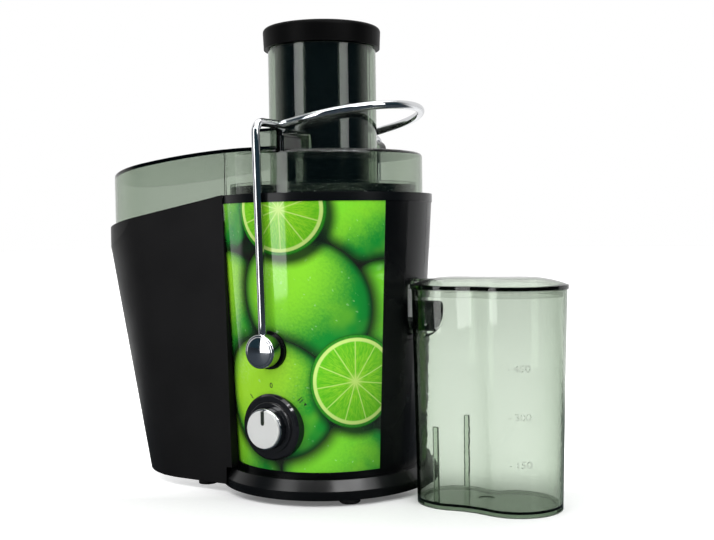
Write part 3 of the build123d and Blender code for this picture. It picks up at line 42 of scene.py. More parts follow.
AXIS_X = (plinth[0][0] + plinth[1][0]) / 2
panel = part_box("front_panel")
PANEL_LOW, PANEL_HIGH = panel[0][2], panel[1][2]
PANEL_R = 0.0752            # mid radius of the panel, for sizes along its curve
CHUTE_FREE = 0.0787         # height of the chute that stands free above the lid
knob_low, knob_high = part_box("knob")
KNOB_Z = (knob_low[2] + knob_high[2]) / 2
LID_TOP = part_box("lid")[1][2] - CHUTE_FREE


# ---------------------------------------------------------------- node helpers
class Nodes:
    """Short way to write a node tree."""

    def __init__(self, tree):
        self.tree = tree

    def add(self, kind, **settings):
        node = self.tree.nodes.new(kind)
        for key, value in settings.items():
            setattr(node, key, value)
        return node

    def put(self, socket, value):
        if isinstance(value, bpy.types.NodeSocket):
            self.tree.links.new(value, socket)
        else:
            socket.default_value = value

    def math(self, operation, a, b=0.0, clamp=False):
        node = self.add("ShaderNodeMath", operation=operation, use_clamp=clamp)
        for socket, value in zip(node.inputs, (a, b)):
            self.put(socket, value)
        return node.outputs[0]

    def span(self, value, low, high, to_low=0.0, to_high=1.0, smooth=True):
        shape = "SMOOTHSTEP" if smooth else "LINEAR"
        node = self.add("ShaderNodeMapRange", interpolation_type=shape)
        for socket, number in zip(node.inputs[:5], (value, low, high, to_low, to_high)):
            self.put(socket, number)
        return node.outputs[0]

    def mix(self, factor, a, b, blend="MIX"):
        node = self.add("ShaderNodeMix", data_type="RGBA", blend_type=blend)
        self.put(node.inputs[0], factor)
        for socket, value in ((node.inputs[6], a), (node.inputs[7], b)):
            self.put(socket, value if isinstance(value, bpy.types.NodeSocket) else (*value[:3], 1.0))
        return node.outputs[2]

    def noise(self, vector, scale, detail=2.0, rough=0.5, distortion=0.0):
        node = self.add("ShaderNodeTexNoise")
        self.put(node.inputs["Vector"], vector)
        settings = {"Scale": scale, "Detail": detail, "Roughness": rough, "Distortion": distortion}
        for name, value in settings.items():
            node.inputs[name].default_value = value
        return node.outputs[0]

    def stretched(self, vector, scale):
        node = self.add("ShaderNodeMapping")
        self.put(node.inputs["Vector"], vector)
        node.inputs["Scale"].default_value = scale
        return node.outputs[0]

    def place(self):
        return self.add("ShaderNodeTexCoord").outputs["Object"]

    def combine(self, x, y, z):
        node = self.add("ShaderNodeCombineXYZ")
        for socket, value in zip(node.inputs, (x, y, z)):
            self.put(socket, value)
        return node.outputs[0]

    def split(self, vector):
        node = self.add("ShaderNodeSeparateXYZ")
        self.put(node.inputs[0], vector)
        return node.outputs

    def bump(self, height, distance, strength=1.0, normal=None):
        node = self.add("ShaderNodeBump")
        node.inputs["Strength"].default_value = strength
        node.inputs["Distance"].default_value = distance
        self.put(node.inputs["Height"], height)
        if normal is not None:
            self.put(node.inputs["Normal"], normal)
        return node.outputs[0]

    def soft_edges(self, radius):
        node = self.add("ShaderNodeBevel", samples=4)
        node.inputs["Radius"].default_value = radius
        return node.outputs[0]


def new_material(name):
    """Empty node material with a Principled shader; gives the material, its helper, shader and output."""
    material = bpy.data.materials.new(name)
    material.use_nodes = True
    tree = material.node_tree
    tree.nodes.clear()
    n = Nodes(tree)
    shader = n.add("ShaderNodeBsdfPrincipled")
    output = n.add("ShaderNodeOutputMaterial")
    tree.links.new(shader.outputs[0], output.inputs["Surface"])
    return material, n, shader, output


def moulded(name, colour, rough, grain=900.0, depth=0.00004, edge=0.0004, coat=0.0,
            coat_rough=0.1, specular=0.5, mottle=0.25):
    """Moulded plastic: fine grain, slight mottle and soft edges."""
    material, n, shader, _ = new_material(name)
    place = n.place()
    cloud = n.noise(place, 28.0, 3.0)
    fine = n.noise(place, grain, 2.0, 0.6)
    light = tuple(min(1.0, c * (1 + mottle) + 0.0012) for c in colour)
    n.put(shader.inputs["Base Color"], n.mix(cloud, colour, light))
    spread = n.span(cloud, 0.3, 0.7, rough - 0.04, rough + 0.04)
    n.put(shader.inputs["Roughness"], n.math("ADD", spread, n.math("MULTIPLY", fine, 0.04)))
    n.put(shader.inputs["Normal"], n.bump(fine, depth, 0.6, n.soft_edges(edge)))
    shader.inputs["Specular IOR Level"].default_value = specular
    shader.inputs["Coat Weight"].default_value = coat
    shader.inputs["Coat Roughness"].default_value = coat_rough
    return material


def metal(name, colour, rough, lines=None, depth=0.00001, edge=0.0003, metallic=1.0):
    """Metal with fine marks; lines gives the stretch of the brushing along X, Y and Z."""
    material, n, shader, _ = new_material(name)
    place = n.place()
    marks = n.noise(n.stretched(place, lines or (300.0, 300.0, 300.0)), 1.0, 3.0, 0.6)
    cloud = n.noise(place, 45.0, 2.0)
    dark = tuple(c * 0.88 for c in colour)
    n.put(shader.inputs["Base Color"], n.mix(n.math("MULTIPLY", marks, cloud), dark, colour))
    n.put(shader.inputs["Roughness"], n.span(marks, 0.3, 0.7, rough * 0.75, rough * 1.35 + 0.01))
    n.put(shader.inputs["Normal"], n.bump(marks, depth, 0.5, n.soft_edges(edge)))
    shader.inputs["Metallic"].default_value = metallic
    return material


def clear_plastic(name, absorb, density, rough=0.03, chute=None):
    """See-through tinted plastic whose thick parts go darker; above the height chute its tint is deeper,
    painted shade that darkens the free-standing chute.
    """
    material, n, shader, output = new_material(name)
    place = n.place()
    flow = n.noise(n.stretched(place, (60.0, 60.0, 14.0)), 1.0, 2.0)
    fine = n.noise(place, 500.0, 1.0)
    tint = n.mix(flow, (0.932, 0.920, 0.930), (0.957, 0.945, 0.955))
    if chute:
        # painted shade: the same plastic gets a darker tint above the chute height, so the chute reads darker
        tint = n.mix(n.span(n.split(place)[2], chute, chute + 0.004), tint, (0.855, 0.850, 0.860))
    n.put(shader.inputs["Base Color"], tint)
    n.put(shader.inputs["Roughness"], n.span(fine, 0.3, 0.7, rough * 0.6, rough * 1.4))
    n.put(shader.inputs["Normal"], n.bump(flow, 0.0004, 0.12, n.soft_edges(0.0003)))
    shader.inputs["IOR"].default_value = 1.47
    shader.inputs["Transmission Weight"].default_value = 1.0
    # light reaches what stands behind the plastic, a little tinted by its surfaces
    path = n.add("ShaderNodeLightPath")
    through = n.add("ShaderNodeBsdfTransparent")
    through.inputs[0].default_value = (0.74, 0.79, 0.74, 1.0)
    either = n.add("ShaderNodeMixShader")
    n.put(either.inputs[0], path.outputs["Is Shadow Ray"])
    n.put(either.inputs[1], shader.outputs[0])
    n.put(either.inputs[2], through.outputs[0])
    n.put(output.inputs["Surface"], either.outputs[0])
    volume = n.add("ShaderNodeVolumeAbsorption")
    volume.inputs["Color"].default_value = (*absorb, 1.0)
    volume.inputs["Density"].default_value = density
    n.put(output.inputs["Volume"], volume.outputs[0])
    return material


# ---------------------------------------------------------------- printed panel: whole and sliced limes
def layer_group(name, *numbers):
    """Node group that takes a colour and numbers and gives a colour; it is filled by the caller."""
    tree = bpy.data.node_groups.new(name, "ShaderNodeTree")
    face = tree.interface
    face.new_socket("Colour", in_out="INPUT", socket_type="NodeSocketColor")
    for number in numbers:
        face.new_socket(number, in_out="INPUT", socket_type="NodeSocketFloat")
    face.new_socket("Colour", in_out="OUTPUT", socket_type="NodeSocketColor")
    n = Nodes(tree)
    enter = n.add("NodeGroupInput").outputs[:len(numbers) + 1]
    return tree, n, enter, n.add("NodeGroupOutput")


def slice_group():
    """Node group that lays one lime slice with its shadow over a colour."""
    tree, n, enter, leave = layer_group("lime_slice", "U", "V", "Centre U", "Centre V", "Radius",
                                        "Turn", "Parts", "Tint")
    below, u, v, centre_u, centre_v, radius, turn, parts, tint = enter
    du, dv = n.math("SUBTRACT", u, centre_u), n.math("SUBTRACT", v, centre_v)

    def reach(a, b):
        square = n.math("ADD", n.math("MULTIPLY", a, a), n.math("MULTIPLY", b, b))
        return n.math("DIVIDE", n.math("SQRT", square), radius)

    share = reach(du, dv)
    bearing = n.math("ADD", n.math("ARCTAN2", dv, du), turn)
    shade = reach(n.math("SUBTRACT", du, 0.003), n.math("ADD", dv, 0.004))
    shaded = n.mix(n.span(shade, 0.95, 1.22, 0.94, 0.0), below, (0.006, 0.014, 0.008))

    # flesh cut into wedges by thin skins, grained along the radius
    wedge = n.math("FRACT", n.math("MULTIPLY", bearing, n.math("DIVIDE", parts, 2 * math.pi)))
    off = n.math("ABSOLUTE", n.math("SUBTRACT", wedge, 0.5))
    skin = n.math("MULTIPLY", n.math("SUBTRACT", 0.5, off), share)
    grain_at = n.combine(n.math("MULTIPLY", bearing, 26.0), n.math("MULTIPLY", share, 7.0),
                         n.math("MULTIPLY", centre_u, 90.0))
    grain = n.noise(grain_at, 1.0, 3.0, 0.62, 0.5)
    deep = n.mix(tint, (0.06, 0.46, 0.014), (0.16, 0.56, 0.014))
    pale = n.mix(tint, (0.26, 0.70, 0.030), (0.44, 0.80, 0.035))
    flesh = n.mix(n.span(grain, 0.30, 0.72), deep, pale)
    flesh = n.mix(n.span(share, 0.25, 0.9, 0.0, 0.55), flesh, deep)
    flesh = n.mix(n.span(share, 0.0, 0.22, 0.75, 0.0), flesh, (0.62, 0.82, 0.20))
    flesh = n.mix(n.span(skin, 0.012, 0.030, 0.85, 0.0), flesh, (0.55, 0.80, 0.18))
    # pale layer under a dark rind with pores
    pith = n.mix(n.span(share, 0.835, 0.865), flesh, (0.60, 0.83, 0.22))
    pores = n.noise(n.combine(u, v, 0.0), 700.0, 2.0)
    rind = n.mix(pores, (0.010, 0.17, 0.012), (0.05, 0.36, 0.02))
    body = n.mix(n.span(share, 0.915, 0.935), pith, rind)
    body = n.mix(n.span(share, 0.965, 1.0, 0.0, 0.75), body, (0.004, 0.06, 0.006))
    # light falls from the upper left
    glow = n.span(n.math("SUBTRACT", dv, du), -0.05, 0.06, 0.62, 1.12, smooth=False)
    lit = n.mix(1.0, body, n.combine(glow, glow, glow), blend="MULTIPLY")
    n.put(leave.inputs[0], n.mix(n.span(share, 0.992, 1.006, 1.0, 0.0), shaded, lit))
    return tree


def fruit_group():
    """Node group that lays one whole lime with its shadow over a colour."""
    tree, n, enter, leave = layer_group("whole_lime", "U", "V", "Centre U", "Centre V", "Radius",
                                        "Lean", "Tint")
    below, u, v, centre_u, centre_v, radius, lean, tint = enter
    du, dv = n.math("SUBTRACT", u, centre_u), n.math("SUBTRACT", v, centre_v)
    cosine, sine = n.math("COSINE", lean), n.math("SINE", lean)
    along = n.math("ADD", n.math("MULTIPLY", du, cosine), n.math("MULTIPLY", dv, sine))
    across = n.math("SUBTRACT", n.math("MULTIPLY", dv, cosine), n.math("MULTIPLY", du, sine))
    a = n.math("DIVIDE", n.math("MULTIPLY", along, 0.86), radius)
    b = n.math("DIVIDE", across, radius)
    square = n.math("ADD", n.math("MULTIPLY", a, a), n.math("MULTIPLY", b, b))
    share = n.math("SQRT", square)
    depth = n.math("SQRT", n.math("SUBTRACT", 1.0, n.math("MINIMUM", square, 1.0)))
    shaded = n.mix(n.span(share, 0.97, 1.25, 0.96, 0.0), below, (0.010, 0.009, 0.008))

    # light from the upper left, broken by the pores of the peel
    side = n.math("SUBTRACT", n.math("MULTIPLY", dv, 0.55), n.math("MULTIPLY", du, 0.50))
    side = n.math("DIVIDE", side, radius)
    spot = n.combine(n.math("MULTIPLY", a, 24.0), n.math("MULTIPLY", b, 24.0),
                     n.math("MULTIPLY", centre_v, 70.0))
    pores = n.noise(spot, 1.0, 3.0, 0.6)
    patches = n.noise(n.combine(n.math("MULTIPLY", a, 1.7), n.math("MULTIPLY", b, 1.3),
                                n.math("MULTIPLY", centre_u, 50.0)), 1.0, 2.0)
    light = n.math("ADD", n.math("MULTIPLY", depth, 0.75), side)
    light = n.math("ADD", light, n.span(pores, 0.3, 0.7, -0.06, 0.06))
    deep = n.mix(tint, (0.003, 0.20, 0.030), (0.010, 0.28, 0.024))
    bright = n.mix(tint, (0.11, 0.60, 0.030), (0.38, 0.76, 0.030))
    peel = n.mix(n.span(light, 0.10, 1.0), deep, bright)
    peel = n.mix(n.span(patches, 0.45, 0.75, 0.0, 0.40), peel, (0.28, 0.66, 0.022))
    peel = n.mix(n.span(light, 1.02, 1.28, 0.0, 0.45), peel, (0.50, 0.78, 0.22))
    drops = n.span(n.noise(spot, 0.55, 1.0), 0.70, 0.76, 0.0, 0.30)
    peel = n.mix(n.math("MULTIPLY", drops, depth), peel, (0.55, 0.80, 0.45))
    peel = n.mix(n.span(share, 0.72, 0.94, 0.0, 0.55), peel, (0.002, 0.15, 0.022))
    peel = n.mix(n.span(share, 0.88, 1.0, 0.0, 0.88), peel, (0.006, 0.016, 0.008))
    n.put(leave.inputs[0], n.mix(n.span(share, 0.985, 1.005, 1.0, 0.0), shaded, peel))
    return tree


WHOLE_LIMES = (     # place along the curve, height, radius, lean, yellowness
    (-0.052, 0.204, 0.037, 0.4, 0.6),
    (0.070, 0.206, 0.036, 2.0, 0.3),
    (0.080, 0.128, 0.037, 1.3, 0.2),
    (-0.080, 0.082, 0.036, 1.5, 0.3),
    (-0.044, 0.138, 0.040, 0.3, 0.8),
    (0.028, 0.142, 0.043, 2.5, 0.5),
    (-0.036, 0.030, 0.040, 0.2, 0.5),
    (0.050, 0.026, 0.038, 0.1, 0.3),
    (0.000, 0.074, 0.043, 2.9, 0.95),
)
LIME_SLICES = (     # place along the curve, height, radius, turn, wedges, yellowness
    (0.012, 0.206, 0.032, 0.3, 10, 0.6),
    (0.063, 0.086, 0.033, 0.7, 11, 0.4),
    (-0.083, 0.166, 0.027, 1.1, 9, 0.8),
)


def panel_print():
    """Glossy printed panel: whole and sliced limes piled over deep green shade."""
    material, n, shader, _ = new_material("printed_panel")
    place = n.place()
    x, y, z = n.split(place)[:3]
    angle = n.math("ARCTAN2", n.math("SUBTRACT", x, AXIS_X), n.math("MULTIPLY", y, -1.0))
    u, v = n.math("MULTIPLY", angle, PANEL_R), z
    leaf = n.noise(n.stretched(n.combine(u, v, 0.0), (40.0, 22.0, 1.0)), 1.0, 3.0, 0.6, 1.5)
    colour = n.mix(n.span(leaf, 0.40, 0.70), (0.012, 0.009, 0.009), (0.003, 0.07, 0.012))
    whole, sliced = fruit_group(), slice_group()
    for tree, rows in ((whole, WHOLE_LIMES), (sliced, LIME_SLICES)):
        for row in rows:
            layer = n.add("ShaderNodeGroup", node_tree=tree)
            for socket, value in zip(layer.inputs, (colour, u, v, *row)):
                n.put(socket, value)
            colour = layer.outputs[0]
    n.put(shader.inputs["Base Color"], colour)
    wave = n.noise(place, 22.0, 2.0)
    n.put(shader.inputs["Roughness"], n.span(wave, 0.3, 0.7, 0.05, 0.11))
    n.put(shader.inputs["Normal"], n.bump(wave, 0.0003, 0.10, n.soft_edges(0.0005)))
    shader.inputs["Coat Weight"].default_value = 0.35
    shader.inputs["Coat Roughness"].default_value = 0.04
    return material


# ---------------------------------------------------------------- materials of the CAD nodes
housing_black = moulded("housing_black", (0.0016, 0.0020, 0.0023), 0.24, 1400.0, 0.00002, specular=0.20)
bowl_black = moulded("bowl_black", (0.0018, 0.0023, 0.0028), 0.20, 1400.0, 0.00002, specular=0.22)
container_black = moulded("container_black", (0.0068, 0.0066, 0.0070), 0.38, 1100.0, 0.00006, specular=0.12)
cap_black = moulded("cap_black", (0.0010, 0.0010, 0.0011), 0.40, 1200.0, 0.00004, specular=0.05)
plinth_black = moulded("plinth_black", (0.0012, 0.0014, 0.0016), 0.20, 1400.0, 0.00002, specular=0.36)
gloss_black = moulded("gloss_black", (0.006, 0.006, 0.007), 0.09, 300.0, 0.00001, coat=0.4, coat_rough=0.04)
dark_plastic = moulded("dark_plastic", (0.0030, 0.0045, 0.0065), 0.10, 500.0, 0.00001)
white_plastic = moulded("white_plastic", (0.62, 0.62, 0.58), 0.38, 800.0, 0.00003)
rubber = moulded("rubber_black", (0.012, 0.012, 0.012), 0.72, 1600.0, 0.00006)
green_clear = clear_plastic("green_clear", (0.22, 0.38, 0.18), 225.0)
# the lid's free-standing chute carries painted shade through a darker tint
lid_clear = clear_plastic("lid_clear", (0.22, 0.38, 0.18), 215.0, chute=LID_TOP)
dome_clear = clear_plastic("dome_clear", (0.22, 0.38, 0.18), 105.0)
smoke_clear = clear_plastic("smoke_clear", (0.22, 0.36, 0.20), 40.0, 0.05)
mark_clear = clear_plastic("mark_clear", (0.50, 0.60, 0.50), 10.0, 0.22)
chrome = metal("chrome", (0.78, 0.79, 0.81), 0.035, (120.0, 120.0, 120.0), 0.000002)
knob_chrome = metal("knob_chrome", (0.76, 0.77, 0.79), 0.05, (150.0, 150.0, 150.0), 0.000002)
satin_silver = metal("satin_silver", (0.88, 0.88, 0.86), 0.46, (90.0, 90.0, 2600.0), 0.00001, metallic=0.4)
steel = metal("turned_steel", (0.50, 0.50, 0.51), 0.26, (150.0, 150.0, 2500.0))
stainless = metal("stainless", (0.58, 0.58, 0.57), 0.20, (200.0, 200.0, 900.0))
laminations = metal("laminations", (0.17, 0.17, 0.18), 0.42, (40.0, 40.0, 4000.0), 0.00006)
copper = metal("enamelled_copper", (0.62, 0.25, 0.11), 0.24, (60.0, 60.0, 3500.0), 0.0001)
brass = metal("brass", (0.62, 0.45, 0.18), 0.28, (500.0, 500.0, 500.0))
aluminium = metal("cast_aluminium", (0.52, 0.52, 0.53), 0.42, (600.0, 600.0, 600.0), 0.00006)
carbon = moulded("carbon", (0.018, 0.018, 0.018), 0.55, 1500.0, 0.00004)
panel_green = panel_print()

finishes = {
    housing_black: ["motor_housing"],
    plinth_black: ["base_plate"],
    bowl_black: ["juice_bowl", "filter_hub"],
    container_black: ["pulp_container"],
    cap_black: ["pusher_cap"],
    gloss_black: ["knob_bezel"],
    dark_plastic: ["pusher_tube", "rotary_switch", "safety_switch"],
    white_plastic: ["lock_cam", "cooling_fan", "drive_coupling"],
    rubber: ["base_feet", "container_feet", "cord_gland", "motor_dampers", "shaft_seal"],
    green_clear: ["jug"],
    lid_clear: ["lid"],
    dome_clear: ["jug_lid"],
    smoke_clear: ["filter_rim"],
    chrome: ["arm_wire", "arm_bosses"],
    knob_chrome: ["knob"],
    satin_silver: ["knob_cap"],
    steel: ["base_screws", "pivot_pins", "pin_clips", "switch_spindle", "lower_bearing", "upper_bearing",
            "motor_bolts", "motor_shaft"],
    stainless: ["filter_cone", "grater_disc"],
    laminations: ["stator_core", "armature_core"],
    copper: ["field_coils", "armature_windings", "commutator"],
    brass: ["brush_holders"],
    aluminium: ["lower_bracket", "upper_bracket"],
    carbon: ["carbon_brushes"],
    panel_green: ["front_panel"],
}
for finish, names in finishes.items():
    for name in names:
        slots = nodes[name].material_slots
        for slot in slots:
            slot.material = finish
assert {name for names in finishes.values() for name in names} == set(nodes)


# ---------------------------------------------------------------- small printed and moulded marks
def panel_point(u, v, proud):
    """Point on the body's tapered front, u along its curve from the middle and v above the floor."""
    share = (v - PANEL_LOW) / (PANEL_HIGH - PANEL_LOW)
    radius = LOW_R + share * (HIGH_R - LOW_R) + proud
    angle = u / PANEL_R
    return Vector((AXIS_X + radius * math.sin(angle), -radius * math.cos(angle), v))


def panel_radius(height):
    """Outer radius of the panel near a height, from its own mesh."""
    near = [v.co for v in nodes["front_panel"].data.vertices if abs(v.co.z - height) < 0.002]
    return max(math.hypot(co.x - AXIS_X, co.y) for co in near)


LOW_R, HIGH_R = panel_radius(PANEL_LOW), panel_radius(PANEL_HIGH)


def finished(mesh, name, material):
    """Object made from a mesh, linked into the scene."""
    data = bpy.data.meshes.new(name)
    mesh.to_mesh(data)
    mesh.free()
    data.materials.append(material)
    piece = bpy.data.objects.new(name, data)
    bpy.context.collection.objects.link(piece)
    return piece


def strip(loops, name, material, thickness, to_place):
    """Closed thin plate from outline pairs: loops is a list of (inner, outer) point rows."""
    mesh = bmesh.new()
    for inner, outer in loops:
        count = len(inner)
        rows = []
        for lift in (0.0, thickness):
            rows.append([mesh.verts.new(to_place(p, lift)) for p in inner])
            rows.append([mesh.verts.new(to_place(p, lift)) for p in outer])
        low_in, low_out, high_in, high_out = rows
        for i in range(count):
            j = (i + 1) % count
            mesh.faces.new((high_in[i], high_in[j], high_out[j], high_out[i]))
            mesh.faces.new((low_in[j], low_in[i], low_out[i], low_out[j]))
            mesh.faces.new((high_out[i], high_out[j], low_out[j], low_out[i]))
            mesh.faces.new((high_in[j], high_in[i], low_in[i], low_in[j]))
    bmesh.ops.remove_doubles(mesh, verts=mesh.verts, dist=1e-7)
    bmesh.ops.recalc_face_normals(mesh, faces=mesh.faces)
    return finished(mesh, name, material)


def oval(cu, cv, half_u, half_v, line, steps=28):
    """Ring outline pair for the figure 0."""
    rows = []
    for grow in (0.0, line):
        rows.append([(cu + (half_u - line + grow) * math.cos(2 * math.pi * k / steps),
                      cv + (half_v - line + grow) * math.sin(2 * math.pi * k / steps)) for k in range(steps)])
    return tuple(rows)


def bar(cu, cv, length, line, lean):
    """Straight stroke as an outline pair that shares its middle line."""
    s, c = math.sin(lean), math.cos(lean)

    def turned(a, b):
        return cu + a * c + b * s, cv - a * s + b * c

    h, w = length / 2, line / 2
    outer = [turned(-w, -h), turned(w, -h), turned(w, h), turned(-w, h)]
    inner = [turned(0, -h + w), turned(0, -h + w), turned(0, h - w), turned(0, h - w)]
    return inner, outer


INK_THICK, INK_PROUD = 0.00006, 0.00002
ink = moulded("mark_ink", (0.010, 0.016, 0.010), 0.30, 1500.0, 0.00001)


def knob_marks():
    """The figures 0, I and II round the knob, with a small wedge for the faster end."""
    ring, far_ring = 0.0285, 0.0305
    left, right = math.radians(-45), math.radians(49)
    loops = [oval(0.0, KNOB_Z + ring + 0.001, 0.0012, 0.0019, 0.0006)]
    lu, lv = ring * math.sin(left), KNOB_Z + ring * math.cos(left)
    loops.append(bar(lu, lv, 0.0040, 0.0006, left))
    ru, rv = far_ring * math.sin(right), KNOB_Z + far_ring * math.cos(right)
    for shift in (-0.0009, 0.0009):
        loops.append(bar(ru + shift * math.cos(right), rv - shift * math.sin(right), 0.0040, 0.0006, right))
    tri_u, tri_v = ru + 0.0034, rv - 0.0030
    outer = [(tri_u - 0.0011, tri_v - 0.0010), (tri_u + 0.0012, tri_v - 0.0002),
             (tri_u - 0.0002, tri_v + 0.0014)]
    middle = (sum(p[0] for p in outer) / 3, sum(p[1] for p in outer) / 3)
    loops.append(([middle] * 3, outer))
    return strip(loops, "knob_marks", ink, INK_THICK,
                 lambda p, lift: panel_point(p[0], p[1], INK_PROUD + lift))


marks = knob_marks()
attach(marks, "base")


BUTTON_INSET, BUTTON_RISE, BUTTON_SINK = 0.0017, 0.0012, 0.0003


def button(name, centre, side, radius, rise, material, steps=64, rings=10):
    """Crowned round face with its back in what it sits on; side is -1 for the front, 1 for the back."""
    mesh = bmesh.new()
    sphere = (radius * radius + rise * rise) / (2 * rise)
    rows = []
    for k in range(rings, 0, -1):
        out = radius * k / rings
        high = math.sqrt(sphere * sphere - out * out) - (sphere - rise)
        rows.append((out, high))
    rows.insert(0, (radius, -BUTTON_SINK))
    circles = []
    for out, high in rows:
        turns = [2 * math.pi * i / steps for i in range(steps)]
        circles.append([mesh.verts.new((centre[0] + out * math.cos(t), centre[1] + side * high,
                                        centre[2] + out * math.sin(t))) for t in turns])
    for low, high in zip(circles, circles[1:]):
        for i in range(steps):
            mesh.faces.new((low[i], low[(i + 1) % steps], high[(i + 1) % steps], high[i]))
    mesh.faces.new(circles[0])
    peak = mesh.verts.new((centre[0], centre[1] + side * rise, centre[2]))
    for i in range(steps):
        mesh.faces.new((circles[-1][i], circles[-1][(i + 1) % steps], peak))
    bmesh.ops.recalc_face_normals(mesh, faces=mesh.faces)
    for face in mesh.faces:
        face.smooth = len(face.verts) < 5
    return finished(mesh, name, material)


boss_low, boss_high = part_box("arm_bosses")
BOSS_R = (boss_high[0] - boss_low[0]) / 2
boss_centre = (boss_low[0] + BOSS_R, boss_low[2] + BOSS_R)
for side, name in ((-1, "arm_boss_face_front"), (1, "arm_boss_face_back")):
    place = (boss_centre[0], boss_low[1] if side < 0 else boss_high[1], boss_centre[1])
    face = button(name, place, side, BOSS_R - BUTTON_INSET, BUTTON_RISE, chrome)
    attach(face, "arm")

cap_low, cap_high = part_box("knob_cap")
POINTER_SINK, POINTER_PROUD = 0.0004, 0.0003


def knob_pointer():
    """Dark raised line down from the top edge of the knob's face, filling the cap's notch; its dark is
    painted shade standing in for the shade inside the notch.
    """
    top, width, length, steps = cap_high[2] - 0.0006, 0.0026, 0.0084, 8
    middle = (cap_low[0] + cap_high[0]) / 2
    outline = [(middle - width / 2, top), (middle + width / 2, top)]
    for i in range(steps + 1):
        turn = -math.pi * i / steps
        outline.append((middle + math.cos(turn) * width / 2, top - length + math.sin(turn) * width / 2))
    mesh = bmesh.new()
    back = [mesh.verts.new((x, cap_low[1] + POINTER_SINK, z)) for x, z in outline]
    front = [mesh.verts.new((x, cap_low[1] - POINTER_PROUD, z)) for x, z in outline]
    for i in range(len(outline)):
        j = (i + 1) % len(outline)
        mesh.faces.new((back[i], back[j], front[j], front[i]))
    mesh.faces.new(front)
    mesh.faces.new(back)
    bmesh.ops.recalc_face_normals(mesh, faces=mesh.faces)
    # the ink material here gives the notch painted shade, not print
    return finished(mesh, "knob_pointer", ink)


pointer = knob_pointer()
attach(pointer, "speed_knob")


JUG_MARKS = (("450", 0.099), ("300", 0.067), ("150", 0.0355))     # millilitres and their heights
MARK_SIZE, MARK_PROUD, MARK_ALONG = 0.0066, 0.00008, 0.815          # the last as a share of the jug


def jug_marks():
    """Faint raised scale on the jug's outer wall, laid on its own curved face."""
    jug = nodes["jug"]
    wall = BVHTree.FromObject(jug, bpy.context.evaluated_depsgraph_get())
    low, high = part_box("jug")
    middle, front = low[0] + MARK_ALONG * (high[0] - low[0]), low[1] - 0.05
    mesh = bmesh.new()
    for label, height in JUG_MARKS:
        words = bpy.data.curves.new("scale_" + label, "FONT")
        words.body, words.size = "- " + label, MARK_SIZE
        words.align_x, words.align_y = "CENTER", "CENTER"
        words.extrude = 0.00012
        holder = bpy.data.objects.new("scale_" + label, words)
        bpy.context.collection.objects.link(holder)
        graph = bpy.context.evaluated_depsgraph_get()
        flat = bpy.data.meshes.new_from_object(holder.evaluated_get(graph))
        for vertex in flat.vertices:
            start = Vector((middle + vertex.co.x, front, height + vertex.co.y))
            spot, normal = wall.ray_cast(start, Vector((0.0, 1.0, 0.0)))[:2]
            vertex.co = spot + Vector(normal) * (vertex.co.z + MARK_PROUD)
        mesh.from_mesh(flat)
        bpy.data.objects.remove(holder)
    return finished(mesh, "jug_scale", mark_clear)


scale = jug_marks()
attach(scale, "jug_body")


# ---------------------------------------------------------------- stage, lamps, camera
VIEW_TURN, VIEW_PITCH, VIEW_ROLL = math.radians(30.512), math.radians(2.128), math.radians(-0.81)
CAMERA_X, CAMERA_Y, CAMERA_Z = 0.42639, -0.67588, 0.19053      # X from the body's axis
FOCAL_SHARE, SENSOR = 1052.256 / 714, 36.0                     # focal length over picture width
FLOOR_HALF = 9.0
FLOOR_GLOW = 0.13           # glow that the camera sees round the object; it is 1 where the background starts
GLOW_START, GLOW_FULL = 0.28, 0.75          # distances from the middle between which it rises
BEHIND_START, BEHIND_FULL = -0.08, 0.05     # and places along the view, for what is seen through the jug
BEHIND_GLOW = 0.95
MIRROR_START, MIRROR_FULL = 0.12, 0.45      # places along the view between which mirrored floor turns pale
MIRROR_DIM, MIRROR_GLOW = 0.97, 0.4         # darkness in front of the object and glow behind it
THROUGH_LIFT = 0.55                         # less darkness where clear plastic mirrors it
PALE_LOW, PALE_HIGH, NEAR_DARK = (0.78, 0.78, 0.78), (0.82, 0.82, 0.82), (0.010, 0.020, 0.032)
ROOM_AHEAD = (-0.15, 0.45, 0.05, 0.85)      # direction from, to and brightness from, to, along the view
ROOM_ABOVE = (0.4, 0.9, 0.05, 0.35)         # the same upwards
DIM_TINT = (0.35, 0.75, 1.0)
FORWARD = Vector((-math.sin(VIEW_TURN), math.cos(VIEW_TURN), 0.0))
RIGHT = Vector((FORWARD.y, -FORWARD.x, 0.0))


def along_view(n, x, y):
    """How far a place or direction lies along the camera's line."""
    return n.math("ADD", n.math("MULTIPLY", x, FORWARD.x), n.math("MULTIPLY", y, FORWARD.y))


def bounced(n, path):
    """1 for a ray that has been mirrored by a surface."""
    return n.math("MINIMUM", path.outputs["Glossy Depth"], 1.0)


def seen_straight(n, path):
    """1 for what the camera sees directly or through clear plastic."""
    through = n.math("SUBTRACT", path.outputs["Is Transmission Ray"], bounced(n, path), clamp=True)
    return n.math("MAXIMUM", path.outputs["Is Camera Ray"], through)


